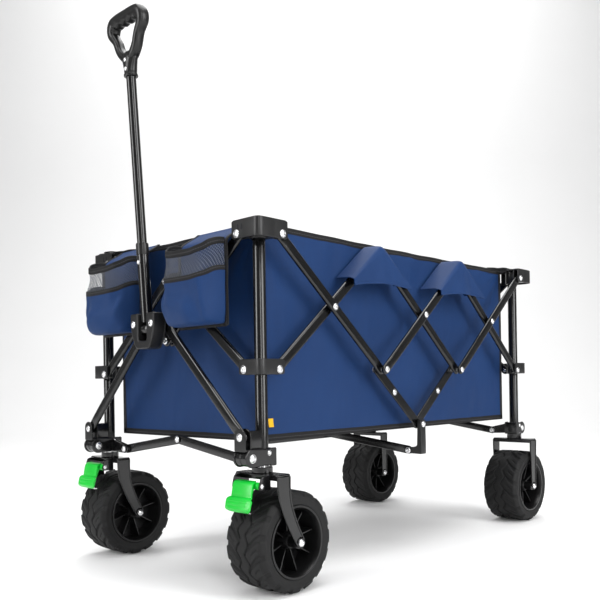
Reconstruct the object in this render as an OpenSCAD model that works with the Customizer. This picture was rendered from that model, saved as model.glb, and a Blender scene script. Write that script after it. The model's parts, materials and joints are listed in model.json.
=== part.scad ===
/* [Frame] */
// Distance between the post axes across the wagon
post_pitch_x = 470; // [420:1:560]
// Distance between the post axes along the wagon
post_pitch_y = 900; // [780:1:1080]
// Outer diameter of a corner post
post_d = 22; // [19:0.5:24]
// Wall of a corner post
post_wall = 1.5; // [1:0.1:2.5]
// Height of the upper arm pivots above the ground
top_pivot_z = 614; // [600:1:700]
// Height of a post's top above its upper arm pivots
post_head = 21; // [18:1:30]

/* [Scissor arms] */
// Drop from the upper arm pivots to the collar pivots
scissor_rise = 231; // [190:1:240]
// Distance from a post's axis to the side arms' end pivots
side_end = 30; // [28:1:40]
// Distance from a post's axis to the front and rear arms' end pivots
face_end = 26; // [26:1:36]
// Width of an arm's oval tube
arm_w = 20; // [16:0.5:20]
// Thickness of an arm's oval tube
arm_t = 9; // [7:0.5:9]
// Wall of an arm's tube
arm_wall = 1.2; // [0.8:0.1:1.8]
// Distance from a post's axis to the middle of the first arm plane
plane_first = 8; // [8:0.5:10]
// Distance from one arm plane to the next
plane_pitch = 12; // [12:0.5:14]
// Radius of the pivot pins
pin_r = 4; // [3:0.25:4.5]
// Radius of the pins' heads
head_r = 7; // [6:0.25:8]
// Thickness of the pins' heads
head_t = 2; // [1:0.25:2]
// Thickness of a lower link's flat bar
link_t = 4; // [3:0.1:4.2]
// Play between a pin and its hole, on the radius
pin_play = 0.08; // [0.02:0.01:0.1]

/* [Corner fittings] */
// Outer radius of the top brackets and collars
sleeve_r = 16; // [15:0.5:17]
// Thickness of a fitting's ear
ear_t = 3; // [2.5:0.1:3]
// Gap between an arm and an ear
ear_gap = 0.5; // [0.3:0.1:0.6]
// Height of a collar above its pivots
collar_rise = 18; // [14:1:30]
// Depth of a collar below its pivots
collar_drop = 9; // [8:0.5:10]
// Play between a collar and its post, on the radius
collar_play = 0.1; // [0.05:0.01:0.3]

/* [Feet] */
// Side of the square block under each post
block_w = 44; // [40:1:48]
// Height of the block's underside
block_z = 218; // [214:1:224]
// Height of the block
block_h = 26; // [24:1:28]
// Distance from a post's axis to the bolt of its floor ear
floor_ear = 60; // [50:1:70]

/* [Wheels] */
// Diameter of a wheel
wheel_d = 176; // [146:1:184]
// Width of a tyre
tyre_w = 92; // [70:1:92]
// Thickness of the tyre's tread and wall
tyre_t = 26; // [20:1:30]
// Rounding of the tyre's shoulders
shoulder_r = 10; // [5:1:14]
// Distance that a front wheel trails behind its kingpin
trail = 38; // [30:1:46]
// Radius of a wheel's axle
axle_r = 5; // [4:0.25:6]
// Number of spokes in a rim
spokes = 6; // [4:1:8]
// Height of a fork's crown plate above the ground, underside
crown_z = 194; // [190:1:198]
// Thickness of a fork's crown plate
crown_t = 13.7; // [10:0.1:14]
// Thickness of a fork's leg
leg_t = 4.5; // [3:0.5:6]
// Gap between a tyre and a fork's leg
leg_gap = 3; // [2:0.5:4]
// Radius of the kingpin
kingpin_r = 8; // [6:0.5:9]

/* [Brake pedals] */
// Width of a pedal
pedal_w = 60; // [40:1:62]
// Distance of a pedal's pin in front of the kingpin
pedal_y = 34; // [32:0.5:36]
// Height of a pedal's pin above the ground
pedal_z = 190; // [186:0.5:192]

/* [Handle] */
// Distance of the handle frame's struts in front of the posts
strut_plane = 44; // [43:1:60]
// Height of the struts' lower pivots
strut_z = 270; // [266:1:276]
// Rise from a strut's lower pivot to its upper pivot
strut_rise = 202; // [190:1:206]
// Half the distance between the struts' upper pivots
strut_top = 27.5; // [26:0.5:28]
// Play of the left strut's lower hole, which takes up what the frame's closing leaves over
strut_play = 2.5; // [2.4:0.1:2.8]
// Width of the handle bracket
bracket_w = 74; // [72:1:80]
// Height of the handle bracket
bracket_h = 66; // [60:1:70]
// Depth of the handle bracket
bracket_d = 28; // [28:1:36]
// Width of the slot that the handle swings in
slot_w = 26; // [25:0.5:28]
// Distance that the handle's pivot lies below the struts' upper pivots
handle_drop = 9; // [6:0.5:10]
// Lean of the handle towards the front at rest
handle_lean = 3.5; // [0:0.5:8]
// Outer diameter of the handle's lower tube
outer_d = 22; // [20:0.5:22]
// Length of the handle's lower tube above its pivot
outer_len = 157; // [140:1:200]
// Outer diameter of the handle's upper tube
inner_d = 18; // [15:0.5:18]
// Length of the upper tube that shows when the handle is drawn out
inner_len = 304; // [250:1:360]
// Length of the upper tube inside the lower one when it is drawn out
inner_tuck = 40; // [30:1:42]
// Play between the two tubes, on the radius
tube_play = 0.05; // [0.02:0.01:0.1]

/* [Grip] */
// Width of the grip
grip_w = 114; // [90:1:120]
// Height of the grip above the upper tube
grip_h = 120; // [100:1:130]
// Thickness of the grip's bar
bar_d = 26; // [20:1:28]
// Depth of the upper tube's seat in the grip
grip_seat = 25; // [15:1:30]

/* [Soft parts] */
// Gap from the post axes to the outside of the tub
tub_gap = 20; // [18:0.5:26]
// Height of the tub's underside above the ground
tub_z = 257; // [254:1:262]
// Height of the tub's rim above the ground
rim_z = 632; // [600:1:660]
// Thickness of the tub's padded walls
cloth_t = 3; // [2:0.5:5]
// Thickness of the floor board
board_t = 4; // [3:0.5:8]
// Gap from the wagon's middle to each cup pocket
pocket_x = 62; // [62:1:70]
// Width of a cup pocket
pocket_w = 130; // [100:1:132]
// Distance from the front posts' axes to a cup pocket's back
pocket_gap = 34; // [34:0.5:40]
// Depth of a cup pocket, front to back
pocket_d = 68; // [55:1:80]
// Height of a cup pocket's underside above the ground
pocket_z = 456; // [456:1:466]
// Height of a cup pocket
pocket_h = 154; // [120:1:160]

/* [Hidden] */
$fn = 48;
eps = 0.01;

half_x = post_pitch_x / 2;
half_y = post_pitch_y / 2;
post_r = post_d / 2;
post_top = top_pivot_z + post_head;
block_top = block_z + block_h;
low_pivot_z = top_pivot_z - scissor_rise;

// Three scissor units fill the side, and every arm stands at the same angle.
units = 3;
unit = (post_pitch_y - 2 * side_end) / units;
arm_angle = atan2(scissor_rise, unit);
side_arm = sqrt(unit * unit + scissor_rise * scissor_rise);
face_run = half_x - face_end;
face_arm = face_run / cos(arm_angle);
centre_z = low_pivot_z - scissor_rise / 2;

strut_run = half_x - strut_top;
strut_len = sqrt(strut_run * strut_run + strut_rise * strut_rise);
strut_angle = atan2(strut_rise, strut_run);
bracket_z = strut_z + strut_rise;
bracket_back = half_y + strut_plane + arm_t / 2 + ear_gap;
slot_back = 2.5;
pivot_back = 15;
handle_z = bracket_z - handle_drop;
handle_y = bracket_back + pivot_back;

axle_z = wheel_d / 2;
rim_r = wheel_d / 2 - tyre_t;
leg_x = tyre_w / 2 + leg_gap;
crown_w = 2 * (leg_x + leg_t);
crown_top = crown_z + crown_t;

// The drawing is moved along Y so that the origin lies under the middle of the whole wagon.
front_reach = handle_y + (outer_len + inner_len + grip_h) * sin(handle_lean)
    + bar_d / 2 * cos(handle_lean);
rear_reach = half_y + wheel_d / 2;
origin_y = (front_reach - rear_reach) / 2;

steel = [0.09, 0.09, 0.10];
plastic = [0.24, 0.24, 0.25];
cloth = [0.13, 0.25, 0.43];
rubber = [0.07, 0.07, 0.07];
green = [0.08, 0.90, 0.25];

function plane(k) = plane_first + (k - 1) * plane_pitch;

// ---- places ----

// Draws its children in the wagon's own frame, as seen at the front right, mirrored to another corner.
module corner(side, end) {
    translate([0, origin_y, 0])
        mirror([side == "l" ? 1 : 0, 0, 0])
            mirror([0, end == "r" ? 1 : 0, 0])
                children();
}

// Lays a link along a side: its own X runs to the rear at this angle, its own Z points outwards.
module on_side(k, y, z, angle) {
    translate([half_x + plane(k), y, z])
        rotate([angle, 0, 0])
            rotate([90, 0, 90])
                children();
}

// Lays a link along the front: its own X runs to the right at this angle, its own Z points forwards.
module on_face(out, x, z, angle) {
    translate([x, -half_y - out, z])
        rotate([0, -angle, 0])
            rotate([90, 0, 0])
                children();
}

module at_post() {
    translate([half_x, -half_y, 0]) children();
}

// ---- shapes that repeat ----

module bar_outline(length, w) {
    translate([0, -w / 2]) square([length, w]);
    circle(d = w);
    translate([length, 0]) circle(d = w);
}

module oval(w, t) {
    square([w - t, t], center = true);
    for (s = [-1, 1]) translate([s * (w - t) / 2, 0]) circle(d = t);
}

module pin(lo, hi) {
    from = lo * plane_pitch - arm_t / 2 - ear_gap;
    to = hi * plane_pitch + arm_t / 2 + ear_gap;
    translate([0, 0, from - head_t]) cylinder(r = head_r, h = head_t + eps);
    translate([0, 0, from]) cylinder(r = pin_r, h = to - from);
    translate([0, 0, to - eps]) cylinder(r = head_r, h = head_t);
}

// An oval tube with rounded ends: holes lists places along it, pins lists [place, lowest, highest plane].
module arm(length, holes, pins) {
    difference() {
        intersection() {
            rotate([90, 0, 90])
                translate([0, 0, -arm_w / 2])
                    linear_extrude(length + arm_w)
                        difference() {
                            oval(arm_w, arm_t);
                            oval(arm_w - 2 * arm_wall, arm_t - 2 * arm_wall);
                        }
            translate([0, 0, -arm_t]) linear_extrude(2 * arm_t) bar_outline(length, arm_w);
        }
        for (place = holes)
            translate([place, 0, -arm_t]) cylinder(r = pin_r + pin_play, h = 2 * arm_t);
    }
    for (p = pins)
        translate([p[0], 0, 0]) pin(p[1], p[2]);
}

// ---- corner posts ----

module post_tube() {
    at_post()
        translate([0, 0, block_top - eps])
            difference() {
                cylinder(r = post_r, h = post_top - block_top + eps);
                translate([0, 0, -eps])
                    cylinder(r = post_r - post_wall, h = post_top - block_top + 3 * eps);
            }
}

floor_ear_t = 10;
floor_ear_h = 14;

module foot_block(bored) {
    at_post() {
        difference() {
            translate([-block_w / 2, -block_w / 2, block_z]) cube([block_w, block_w, block_h]);
            if (bored)
                translate([0, 0, block_z - eps])
                    cylinder(r = kingpin_r + pin_play, h = block_h - 2);
        }
        difference() {
            translate([-floor_ear - floor_ear_h / 2, -floor_ear_t / 2, block_z + 2])
                cube([floor_ear + floor_ear_h / 2 - block_w / 2 + eps, floor_ear_t, floor_ear_h]);
            translate([-floor_ear, floor_ear_t, block_z + 2 + floor_ear_h / 2])
                rotate([90, 0, 0]) cylinder(r = pin_r, h = 2 * floor_ear_t);
        }
    }
}

// The plate in front of a front post that carries the handle frame's strut.
plate_w = 28;
plate_t = 5;
module strut_plate() {
    back = strut_plane - arm_t / 2 - ear_gap;
    at_post() {
        translate([-plate_w / 2, -back, block_z + 2])
            cube([plate_w, back - block_w / 2 + eps, block_h - 4]);
        translate([-plate_w / 2, -back, block_z + 2])
            cube([plate_w, plate_t, strut_z + plate_w / 2 - block_z - 2]);
    }
    translate([half_x, -half_y - strut_plane, strut_z])
        rotate([90, 0, 0]) {
            translate([0, 0, -arm_t / 2 - ear_gap - eps])
                cylinder(r = pin_r, h = arm_t + 2 * ear_gap + 2 * eps);
            translate([0, 0, arm_t / 2 + ear_gap]) cylinder(r = head_r, h = head_t);
        }
}

module front_post(side) {
    color(steel)
        corner(side, "f") {
            post_tube();
            foot_block(true);
            strut_plate();
        }
}

module rear_post(side) {
    color(steel)
        corner(side, "r") {
            post_tube();
            foot_block(false);
            translate([half_x, -half_y, crown_top - eps])
                cylinder(r = block_w / 2 - 4, h = block_z - crown_top + 2 * eps);
            fork_frame(0);
        }
}

// ---- top brackets and collars ----

// A wing with a slot for one arm. It runs along +Y from the post, and its pivot lies collar_drop
// above its underside.
module wing(end, k, lo, hi) {
    reach = end + arm_w / 2 + 2;
    slot_root = end - arm_w / 2 - 2;
    mid = plane(k);
    half_slot = arm_t / 2 + ear_gap;
    difference() {
        translate([0, 0, lo]) cube([mid + half_slot + ear_t, reach, hi - lo]);
        translate([mid - half_slot, slot_root, lo - eps])
            cube([2 * half_slot, reach, hi - lo + 2 * eps]);
    }
    translate([mid - half_slot - eps, end, lo + collar_drop])
        rotate([0, 90, 0]) cylinder(r = pin_r, h = 2 * half_slot + 2 * eps);
    translate([mid + half_slot + ear_t - eps, end, lo + collar_drop])
        rotate([0, 90, 0]) cylinder(r = head_r, h = head_t);
}

module fitting(lo, hi, bore, side_k, face_k, capped) {
    at_post()
        difference() {
            union() {
                translate([0, 0, lo]) cylinder(r = sleeve_r, h = hi - lo);
                wing(side_end, side_k, lo, hi);
                mirror([1, 1, 0]) wing(face_end, face_k, lo, hi);
            }
            translate([0, 0, lo - eps])
                cylinder(r = bore, h = hi - lo + (capped ? -ear_t + eps : 2 * eps));
        }
}

module top_bracket(side, end, side_k, face_k) {
    color(plastic)
        corner(side, end)
            fitting(top_pivot_z - collar_drop, post_top + ear_t, post_r, side_k, face_k, true);
}

module collar(side, end, side_k, face_k) {
    color(plastic)
        corner(side, end)
            fitting(low_pivot_z - collar_drop, low_pivot_z + collar_rise,
                post_r + collar_play, side_k, face_k, false);
}

// ---- scissor arms ----

down_pins = [
    [[side_arm / 2, -1, 0], [side_arm, -1, 1]],
    [[0, -1, 0], [side_arm / 2, 0, 1], [side_arm, -1, 1]],
    [[0, 0, 1], [side_arm / 2, 0, 1]]
];
down_holes = [[0], [], [side_arm]];
up_planes = [1, 3, 3];

function unit_y(i) = (i - units / 2) * unit;

module side_down_arm(side, i) {
    color(steel)
        corner(side, "f")
            on_side(2, unit_y(i - 1), top_pivot_z, -arm_angle)
                arm(side_arm, down_holes[i - 1], down_pins[i - 1]);
}

module side_up_arm(side, i) {
    color(steel)
        corner(side, "f")
            on_side(up_planes[i - 1], unit_y(i - 1), low_pivot_z, arm_angle)
                arm(side_arm, [0, side_arm / 2, side_arm], []);
}

// The two lower links share the first arm plane: they are flat bars that lie side by side.
module lower_link(side, i) {
    start = i == 1 ? unit_y(1) : unit_y(2);
    angle = i == 1 ? -arm_angle : arm_angle - 180;
    lift = (i == 1 ? 1 : -1) * (link_t + ear_gap) / 2;
    color(steel)
        corner(side, "f")
            on_side(1, start, low_pivot_z, angle)
                translate([0, 0, lift - link_t / 2])
                    linear_extrude(link_t)
                        difference() {
                            bar_outline(side_arm / 2, arm_w);
                            circle(r = pin_r + pin_play);
                            translate([side_arm / 2, 0]) circle(r = pin_r + pin_play);
                        }
}

// Arms of the front and rear. On the right the falling arm is in plane 2, on the left in plane 1.
module face_down_arm(side, end) {
    k = side == "r" ? 2 : 1;
    pins = side == "r"
        ? [[side_arm / 2, -1, 0], [face_arm, -1, 0]]
        : [[side_arm / 2, 0, 1]];
    color(steel)
        corner(side, end)
            on_face(plane(k), face_run, top_pivot_z, 180 + arm_angle)
                arm(face_arm, side == "r" ? [0] : [0, face_arm], pins);
}

module face_up_arm(side, end) {
    k = side == "r" ? 1 : 2;
    pins = side == "r" ? [] : [[face_arm, -1, 0]];
    holes = side == "r" ? [0, side_arm / 2, face_arm] : [0, side_arm / 2];
    color(steel)
        corner(side, end)
            on_face(plane(k), face_run, low_pivot_z, 180 - arm_angle)
                arm(face_arm, holes, pins);
}

// ---- the bracket under the middle of each side ----

plate_end_z = 216;
foot_len = 46;
foot_h = 12;

module centre_bracket(side) {
    color(plastic)
        corner(side, "f") {
            on_side(2, 0, centre_z, 0) pin(-1, 0);
            translate([half_x + plane(2) - arm_t / 2, -arm_w / 2, plate_end_z])
                cube([arm_t, arm_w, centre_z + arm_w / 2 - plate_end_z]);
            difference() {
                translate([half_x + plane(2) + arm_t / 2 - foot_len, -arm_w / 2, plate_end_z - foot_h])
                    cube([foot_len, arm_w, foot_h + eps]);
                translate([half_x + plane(2) + arm_t / 2 - foot_len + foot_h, arm_w, plate_end_z - foot_h / 2])
                    rotate([90, 0, 0]) cylinder(r = pin_r, h = 2 * arm_w);
            }
        }
}

// ---- handle ----

module handle_strut(side) {
    color(steel)
        corner(side, "f")
            on_face(strut_plane, half_x, strut_z, 180 - strut_angle)
                difference() {
                    arm(strut_len, [0, strut_len], []);
                    if (side == "l")
                        translate([0, 0, -arm_t]) cylinder(r = pin_r + strut_play, h = 2 * arm_t);
                }
}

module handle_bracket() {
    lower = handle_z - bracket_h / 2 - 4;
    color(plastic)
        corner("r", "f") {
            difference() {
                translate([-bracket_w / 2, -bracket_back - bracket_d, lower])
                    cube([bracket_w, bracket_d, bracket_h]);
                translate([-slot_w / 2, -bracket_back - bracket_d - eps, handle_z - outer_d])
                    cube([slot_w, bracket_d - slot_back, bracket_h]);
            }
            translate([-slot_w / 2 - 1, -handle_y, handle_z])
                rotate([0, 90, 0]) cylinder(r = pin_r, h = slot_w + 2);
            for (s = [-1, 1])
                translate([s * strut_top, -bracket_back - 1, bracket_z])
                    rotate([-90, 0, 0]) {
                        cylinder(r = pin_r, h = arm_t + 2 * ear_gap + 1);
                        translate([0, 0, arm_t + 2 * ear_gap + 1 - eps]) cylinder(r = head_r, h = head_t);
                    }
        }
}

module along_handle() {
    corner("r", "f")
        translate([0, -handle_y, handle_z])
            rotate([handle_lean, 0, 0])
                children();
}

module handle_lower_tube() {
    bore = inner_d / 2 + tube_play;
    color(steel)
        along_handle()
            difference() {
                union() {
                    cylinder(r = outer_d / 2, h = outer_len);
                    translate([-slot_w / 2 + 1, 0, 0])
                        rotate([0, 90, 0]) cylinder(r = outer_d / 2, h = slot_w - 2);
                }
                translate([0, 0, outer_d / 2 + 1]) cylinder(r = bore, h = outer_len);
                translate([-slot_w, 0, 0])
                    rotate([0, 90, 0]) cylinder(r = pin_r + pin_play, h = 2 * slot_w);
            }
}

module handle_upper_tube() {
    length = inner_tuck + inner_len + grip_seat;
    color(steel)
        along_handle()
            translate([0, 0, outer_len - inner_tuck])
                difference() {
                    cylinder(r = inner_d / 2, h = length);
                    translate([0, 0, -eps])
                        cylinder(r = inner_d / 2 - post_wall, h = length + 2 * eps);
                }
}

neck_w = 30;
neck_h = 34;
cheek_w = 16;

module handle_grip() {
    bar_x = grip_w / 2 - bar_d / 2;
    bar_z = grip_h - bar_d / 2;
    cheek_foot = [neck_w / 2 - cheek_w / 2 + 4, neck_h];
    lean = atan2(bar_x - cheek_foot[0], bar_z - cheek_foot[1]);
    reach = sqrt(pow(bar_x - cheek_foot[0], 2) + pow(bar_z - cheek_foot[1], 2));
    color(plastic)
        along_handle()
            translate([0, 0, outer_len + inner_len])
                difference() {
                    translate([0, bar_d / 2, 0])
                        rotate([90, 0, 0])
                            linear_extrude(bar_d) {
                                translate([-bar_x, bar_z]) bar_outline(2 * bar_x, bar_d);
                                for (s = [0, 1])
                                    mirror([s, 0])
                                        translate(cheek_foot)
                                            rotate(90 - lean) bar_outline(reach, cheek_w);
                                translate([-neck_w / 2, 0]) square([neck_w, neck_h]);
                            }
                    translate([0, 0, -eps]) cylinder(r = inner_d / 2, h = grip_seat + eps);
                }
}

// ---- forks, wheels and brakes ----

crown_back = 34;
crown_front = 22;
boss_r = 15;

// A crown plate over the wheel with two legs down to the axle, which lies behind the kingpin.
module fork_frame(back) {
    translate([half_x, -half_y, 0]) {
        translate([-crown_w / 2, -crown_front, crown_z])
            cube([crown_w, crown_front + (back > 0 ? crown_back : crown_front), crown_t]);
        for (s = [-1, 1])
            translate([s * (leg_x + leg_t / 2) - leg_t / 2, 0, 0])
                rotate([90, 0, 90])
                    linear_extrude(leg_t) {
                        translate([back, axle_z]) circle(r = boss_r);
                        polygon([
                            [-crown_front + 4, crown_top],
                            [back > 0 ? crown_back - 4 : crown_front - 4, crown_top],
                            [back + boss_r, axle_z],
                            [back - boss_r, axle_z]
                        ]);
                    }
        translate([-crown_w / 2, back, axle_z])
            rotate([0, 90, 0]) cylinder(r = axle_r, h = crown_w);
        for (s = [0, 1])
            mirror([s, 0, 0])
                translate([crown_w / 2 - eps, back, axle_z])
                    rotate([0, 90, 0]) cylinder(r = axle_r + 4, h = 5);
    }
}

ear_x = pedal_w / 2 + 1;
ear_plate = 4;

module fork(side) {
    color(steel)
        corner(side, "f") {
            fork_frame(trail);
            at_post() {
                translate([0, 0, crown_top - eps])
                    cylinder(r = block_w / 2 - 4, h = block_z - crown_top - 0.3);
                translate([0, 0, crown_top]) cylinder(r = kingpin_r, h = block_h + 5);
                for (s = [0, 1])
                    mirror([s, 0, 0])
                        difference() {
                            translate([ear_x, -pedal_y - 7, pedal_z - 7])
                                cube([ear_plate, pedal_y + 7 - crown_front + 4, crown_top - pedal_z + 7]);
                            translate([0, -pedal_y, pedal_z])
                                rotate([0, 90, 0]) cylinder(r = 3 + pin_play, h = pedal_w);
                        }
            }
        }
}

module brake_pedal(side) {
    color(green)
        corner(side, "f")
            at_post()
                translate([0, -pedal_y, pedal_z]) {
                    translate([-pedal_w / 2, 0, 0])
                        rotate([90, 0, 90])
                            linear_extrude(pedal_w) {
                                circle(r = 6);
                                polygon([
                                    [0, 6], [-16, 7], [-24, -4], [-26, -22], [-24, -42],
                                    [-12, -44], [-9, -26], [-6, -4]
                                ]);
                            }
                    translate([-ear_x - ear_plate, 0, 0])
                        rotate([0, 90, 0]) cylinder(r = 3, h = 2 * (ear_x + ear_plate));
                }
}

module at_wheel(end) {
    translate([half_x, -half_y + (end == "f" ? trail : 0), axle_z])
        rotate([0, 90, 0])
            children();
}

module tyre(side, end) {
    color(rubber)
        corner(side, end)
            at_wheel(end)
                rotate_extrude($fn = 96) {
                    translate([rim_r, -tyre_w / 2]) square([tyre_t - shoulder_r, tyre_w]);
                    translate([rim_r, -tyre_w / 2 + shoulder_r])
                        square([tyre_t, tyre_w - 2 * shoulder_r]);
                    for (s = [-1, 1])
                        translate([wheel_d / 2 - shoulder_r, s * (tyre_w / 2 - shoulder_r)])
                            circle(r = shoulder_r);
                }
}

hub_r = 16;
barrel_t = 6;
spoke_w = 9;

module rim(side, end) {
    color(rubber)
        corner(side, end)
            at_wheel(end)
                difference() {
                    union() {
                        translate([0, 0, -tyre_w / 2]) cylinder(r = hub_r, h = tyre_w);
                        difference() {
                            translate([0, 0, -tyre_w / 2 + 4])
                                cylinder(r = rim_r, h = tyre_w - 8, $fn = 96);
                            translate([0, 0, -tyre_w])
                                cylinder(r = rim_r - barrel_t, h = 2 * tyre_w, $fn = 96);
                        }
                        for (i = [0 : spokes - 1])
                            rotate([0, 0, i * 360 / spokes])
                                translate([hub_r - 2, -spoke_w / 2, -tyre_w / 4])
                                    cube([rim_r - barrel_t - hub_r + 4, spoke_w, tyre_w / 2]);
                    }
                    translate([0, 0, -tyre_w])
                        cylinder(r = axle_r + pin_play, h = 2 * tyre_w);
                }
}

// ---- soft parts ----

module open_box(x, y, z, t) {
    difference() {
        cube([x, y, z]);
        translate([t, t, t]) cube([x - 2 * t, y - 2 * t, z]);
    }
}

tub_x = post_pitch_x - 2 * tub_gap;
tub_y = post_pitch_y - 2 * tub_gap;

module tub() {
    color(cloth)
        translate([-tub_x / 2, origin_y - tub_y / 2, tub_z])
            open_box(tub_x, tub_y, rim_z - tub_z, cloth_t);
}

module floor_board() {
    play = 4;
    color(steel)
        translate([-tub_x / 2 + cloth_t + play, origin_y - tub_y / 2 + cloth_t + play, tub_z + cloth_t])
            cube([tub_x - 2 * (cloth_t + play), tub_y - 2 * (cloth_t + play), board_t]);
}

module cup_pocket(side) {
    color(cloth)
        corner(side, "f")
            translate([pocket_x, -half_y - pocket_gap - pocket_d, pocket_z])
                open_box(pocket_w, pocket_d, pocket_h, cloth_t);
}

front_post("r");  // post_fr
front_post("l");  // post_fl
rear_post("r");  // post_rr
rear_post("l");  // post_rl
top_bracket("r", "f", 2, 2);  // top_bracket_fr
top_bracket("l", "f", 2, 1);  // top_bracket_fl
top_bracket("r", "r", 3, 2);  // top_bracket_rr
top_bracket("l", "r", 3, 1);  // top_bracket_rl
collar("r", "f", 1, 1);  // collar_fr
collar("l", "f", 1, 2);  // collar_fl
collar("r", "r", 2, 1);  // collar_rr
collar("l", "r", 2, 2);  // collar_rl
side_down_arm("r", 1);  // side_down_arm_r1
side_down_arm("r", 2);  // side_down_arm_r2
side_down_arm("r", 3);  // side_down_arm_r3
side_up_arm("r", 1);  // side_up_arm_r1
side_up_arm("r", 2);  // side_up_arm_r2
side_up_arm("r", 3);  // side_up_arm_r3
side_down_arm("l", 1);  // side_down_arm_l1
side_down_arm("l", 2);  // side_down_arm_l2
side_down_arm("l", 3);  // side_down_arm_l3
side_up_arm("l", 1);  // side_up_arm_l1
side_up_arm("l", 2);  // side_up_arm_l2
side_up_arm("l", 3);  // side_up_arm_l3
face_down_arm("r", "f");  // face_down_arm_fr
face_down_arm("l", "f");  // face_down_arm_fl
face_down_arm("r", "r");  // face_down_arm_rr
face_down_arm("l", "r");  // face_down_arm_rl
face_up_arm("r", "f");  // face_up_arm_fr
face_up_arm("l", "f");  // face_up_arm_fl
face_up_arm("r", "r");  // face_up_arm_rr
face_up_arm("l", "r");  // face_up_arm_rl
lower_link("r", 1);  // lower_link_r1
lower_link("r", 2);  // lower_link_r2
lower_link("l", 1);  // lower_link_l1
lower_link("l", 2);  // lower_link_l2
centre_bracket("r");  // centre_bracket_r
centre_bracket("l");  // centre_bracket_l
handle_strut("r");  // handle_strut_r
handle_strut("l");  // handle_strut_l
handle_bracket();
handle_lower_tube();
handle_upper_tube();
handle_grip();
fork("r");  // fork_r
fork("l");  // fork_l
brake_pedal("r");  // brake_pedal_r
brake_pedal("l");  // brake_pedal_l
tyre("r", "f");  // tyre_fr
tyre("l", "f");  // tyre_fl
tyre("r", "r");  // tyre_rr
tyre("l", "r");  // tyre_rl
rim("r", "f");  // rim_fr
rim("l", "f");  // rim_fl
rim("r", "r");  // rim_rr
rim("l", "r");  // rim_rl
tub();
floor_board();
cup_pocket("r");  // cup_pocket_r
cup_pocket("l");  // cup_pocket_l
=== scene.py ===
# %% [markdown]
# # A folding camp wagon
# The wagon is a fabric tub hung in a steel frame of crossed bars, on four wide wheels. The packed model gives the
# frame: each body's place, each pivot and each node's box. This script dresses it with finished surfaces.
# A shape here is either a grid of points worked out from a formula, or an outline carried along a path. Both are
# whole arrays, so there is no loop over points, and every size can be read in the formula.

# %% Loading the packed model
import json
import math

import bpy
import numpy as np
from mathutils import Matrix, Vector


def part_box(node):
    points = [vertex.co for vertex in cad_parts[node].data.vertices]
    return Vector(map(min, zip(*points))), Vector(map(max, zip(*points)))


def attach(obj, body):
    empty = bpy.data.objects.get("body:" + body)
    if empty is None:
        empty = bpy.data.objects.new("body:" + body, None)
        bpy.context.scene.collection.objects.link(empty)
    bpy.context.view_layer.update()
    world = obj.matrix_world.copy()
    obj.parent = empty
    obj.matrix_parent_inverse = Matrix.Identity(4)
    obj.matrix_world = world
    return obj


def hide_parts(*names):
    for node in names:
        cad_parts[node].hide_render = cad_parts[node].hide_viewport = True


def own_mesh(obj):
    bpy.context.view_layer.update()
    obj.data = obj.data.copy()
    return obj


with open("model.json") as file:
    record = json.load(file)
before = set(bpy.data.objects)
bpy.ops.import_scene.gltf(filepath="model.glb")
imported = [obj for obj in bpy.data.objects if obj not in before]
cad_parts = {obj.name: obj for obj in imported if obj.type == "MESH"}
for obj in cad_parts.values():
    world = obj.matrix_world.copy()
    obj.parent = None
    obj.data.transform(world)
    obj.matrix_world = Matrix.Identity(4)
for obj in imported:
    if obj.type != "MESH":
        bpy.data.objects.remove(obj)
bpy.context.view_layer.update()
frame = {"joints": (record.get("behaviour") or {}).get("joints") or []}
PIVOT = {j["name"]: np.array(j["pos_m"]) for j in frame["joints"] if "pos_m" in j}
AXIS = {j["name"]: np.array(j["axis"], float) for j in frame["joints"] if "axis" in j}

# %% [markdown]
# The wagon's main stations come from the record's pivots: the posts stand over the casters' axes and the rear wheels,
# the arms' upper and lower pivots give two heights, and the crossings give the three planes that the arms lie in.

# %% Stations of the frame
POST_X, FRONT_Y = PIVOT["caster_r"][:2]
REAR_Y = PIVOT["wheel_rr_spin"][1]
MID_Y = (FRONT_Y + REAR_Y) / 2
TOP_Z, LOW_Z = PIVOT["fold"][2], PIVOT["pivot_collar_fr"][2]
SIDE_Y0, SIDE_Y3 = PIVOT["fold"][1], PIVOT["pivot_rear_right_post"][1]
UNIT = (SIDE_Y3 - SIDE_Y0) / 3
SIDE_PLANE = [PIVOT[n][0] - POST_X for n in ("pivot_side_up_arm_r1", "fold", "pivot_side_up_arm_r2")]
PITCH = SIDE_PLANE[1] - SIDE_PLANE[0]
FACE_RUN = PIVOT["pivot_face_down_arm_fr"][0]
ARM_T, ARM_W, ARM_GAP, PIN_R = 0.009, 0.020, 0.0005, 0.0039
AXLE_Z = PIVOT["wheel_fr_spin"][2]
TRAIL = PIVOT["wheel_fr_spin"][1] - FRONT_Y
TUB_LO, TUB_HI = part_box("tub")
print("posts at x", POST_X, "y", FRONT_Y, REAR_Y, "pivots at z", TOP_Z, LOW_Z, "planes", np.round(SIDE_PLANE, 3))

# %% [markdown]
# ## Camera
# The wagon is seen from its front right corner, from a little over half the rim's height. The camera stands level, as a
# product camera does, so that the posts stay upright, and its frame is shifted up a little to take in the handle. It
# also leans by just under one degree.

# %% Camera
def make_camera(place, turn, lean, lens, shift):
    """The camera looks along (-sin turn, cos turn, 0), leans by lean about that line, and its frame is shifted up."""
    lens_data = bpy.data.cameras.new("camera")
    lens_data.lens, lens_data.shift_y, lens_data.sensor_width = lens, shift, 36
    lens_data.clip_start, lens_data.clip_end = 0.05, 60
    camera = bpy.data.objects.new("camera", lens_data)
    bpy.context.scene.collection.objects.link(camera)
    look = Matrix.Rotation(math.radians(turn), 4, "Z") @ Matrix.Rotation(math.radians(90), 4, "X")
    camera.matrix_world = Matrix.Translation(place) @ look @ Matrix.Rotation(math.radians(lean), 4, "Z")
    bpy.context.scene.camera = camera
    return camera


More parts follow.
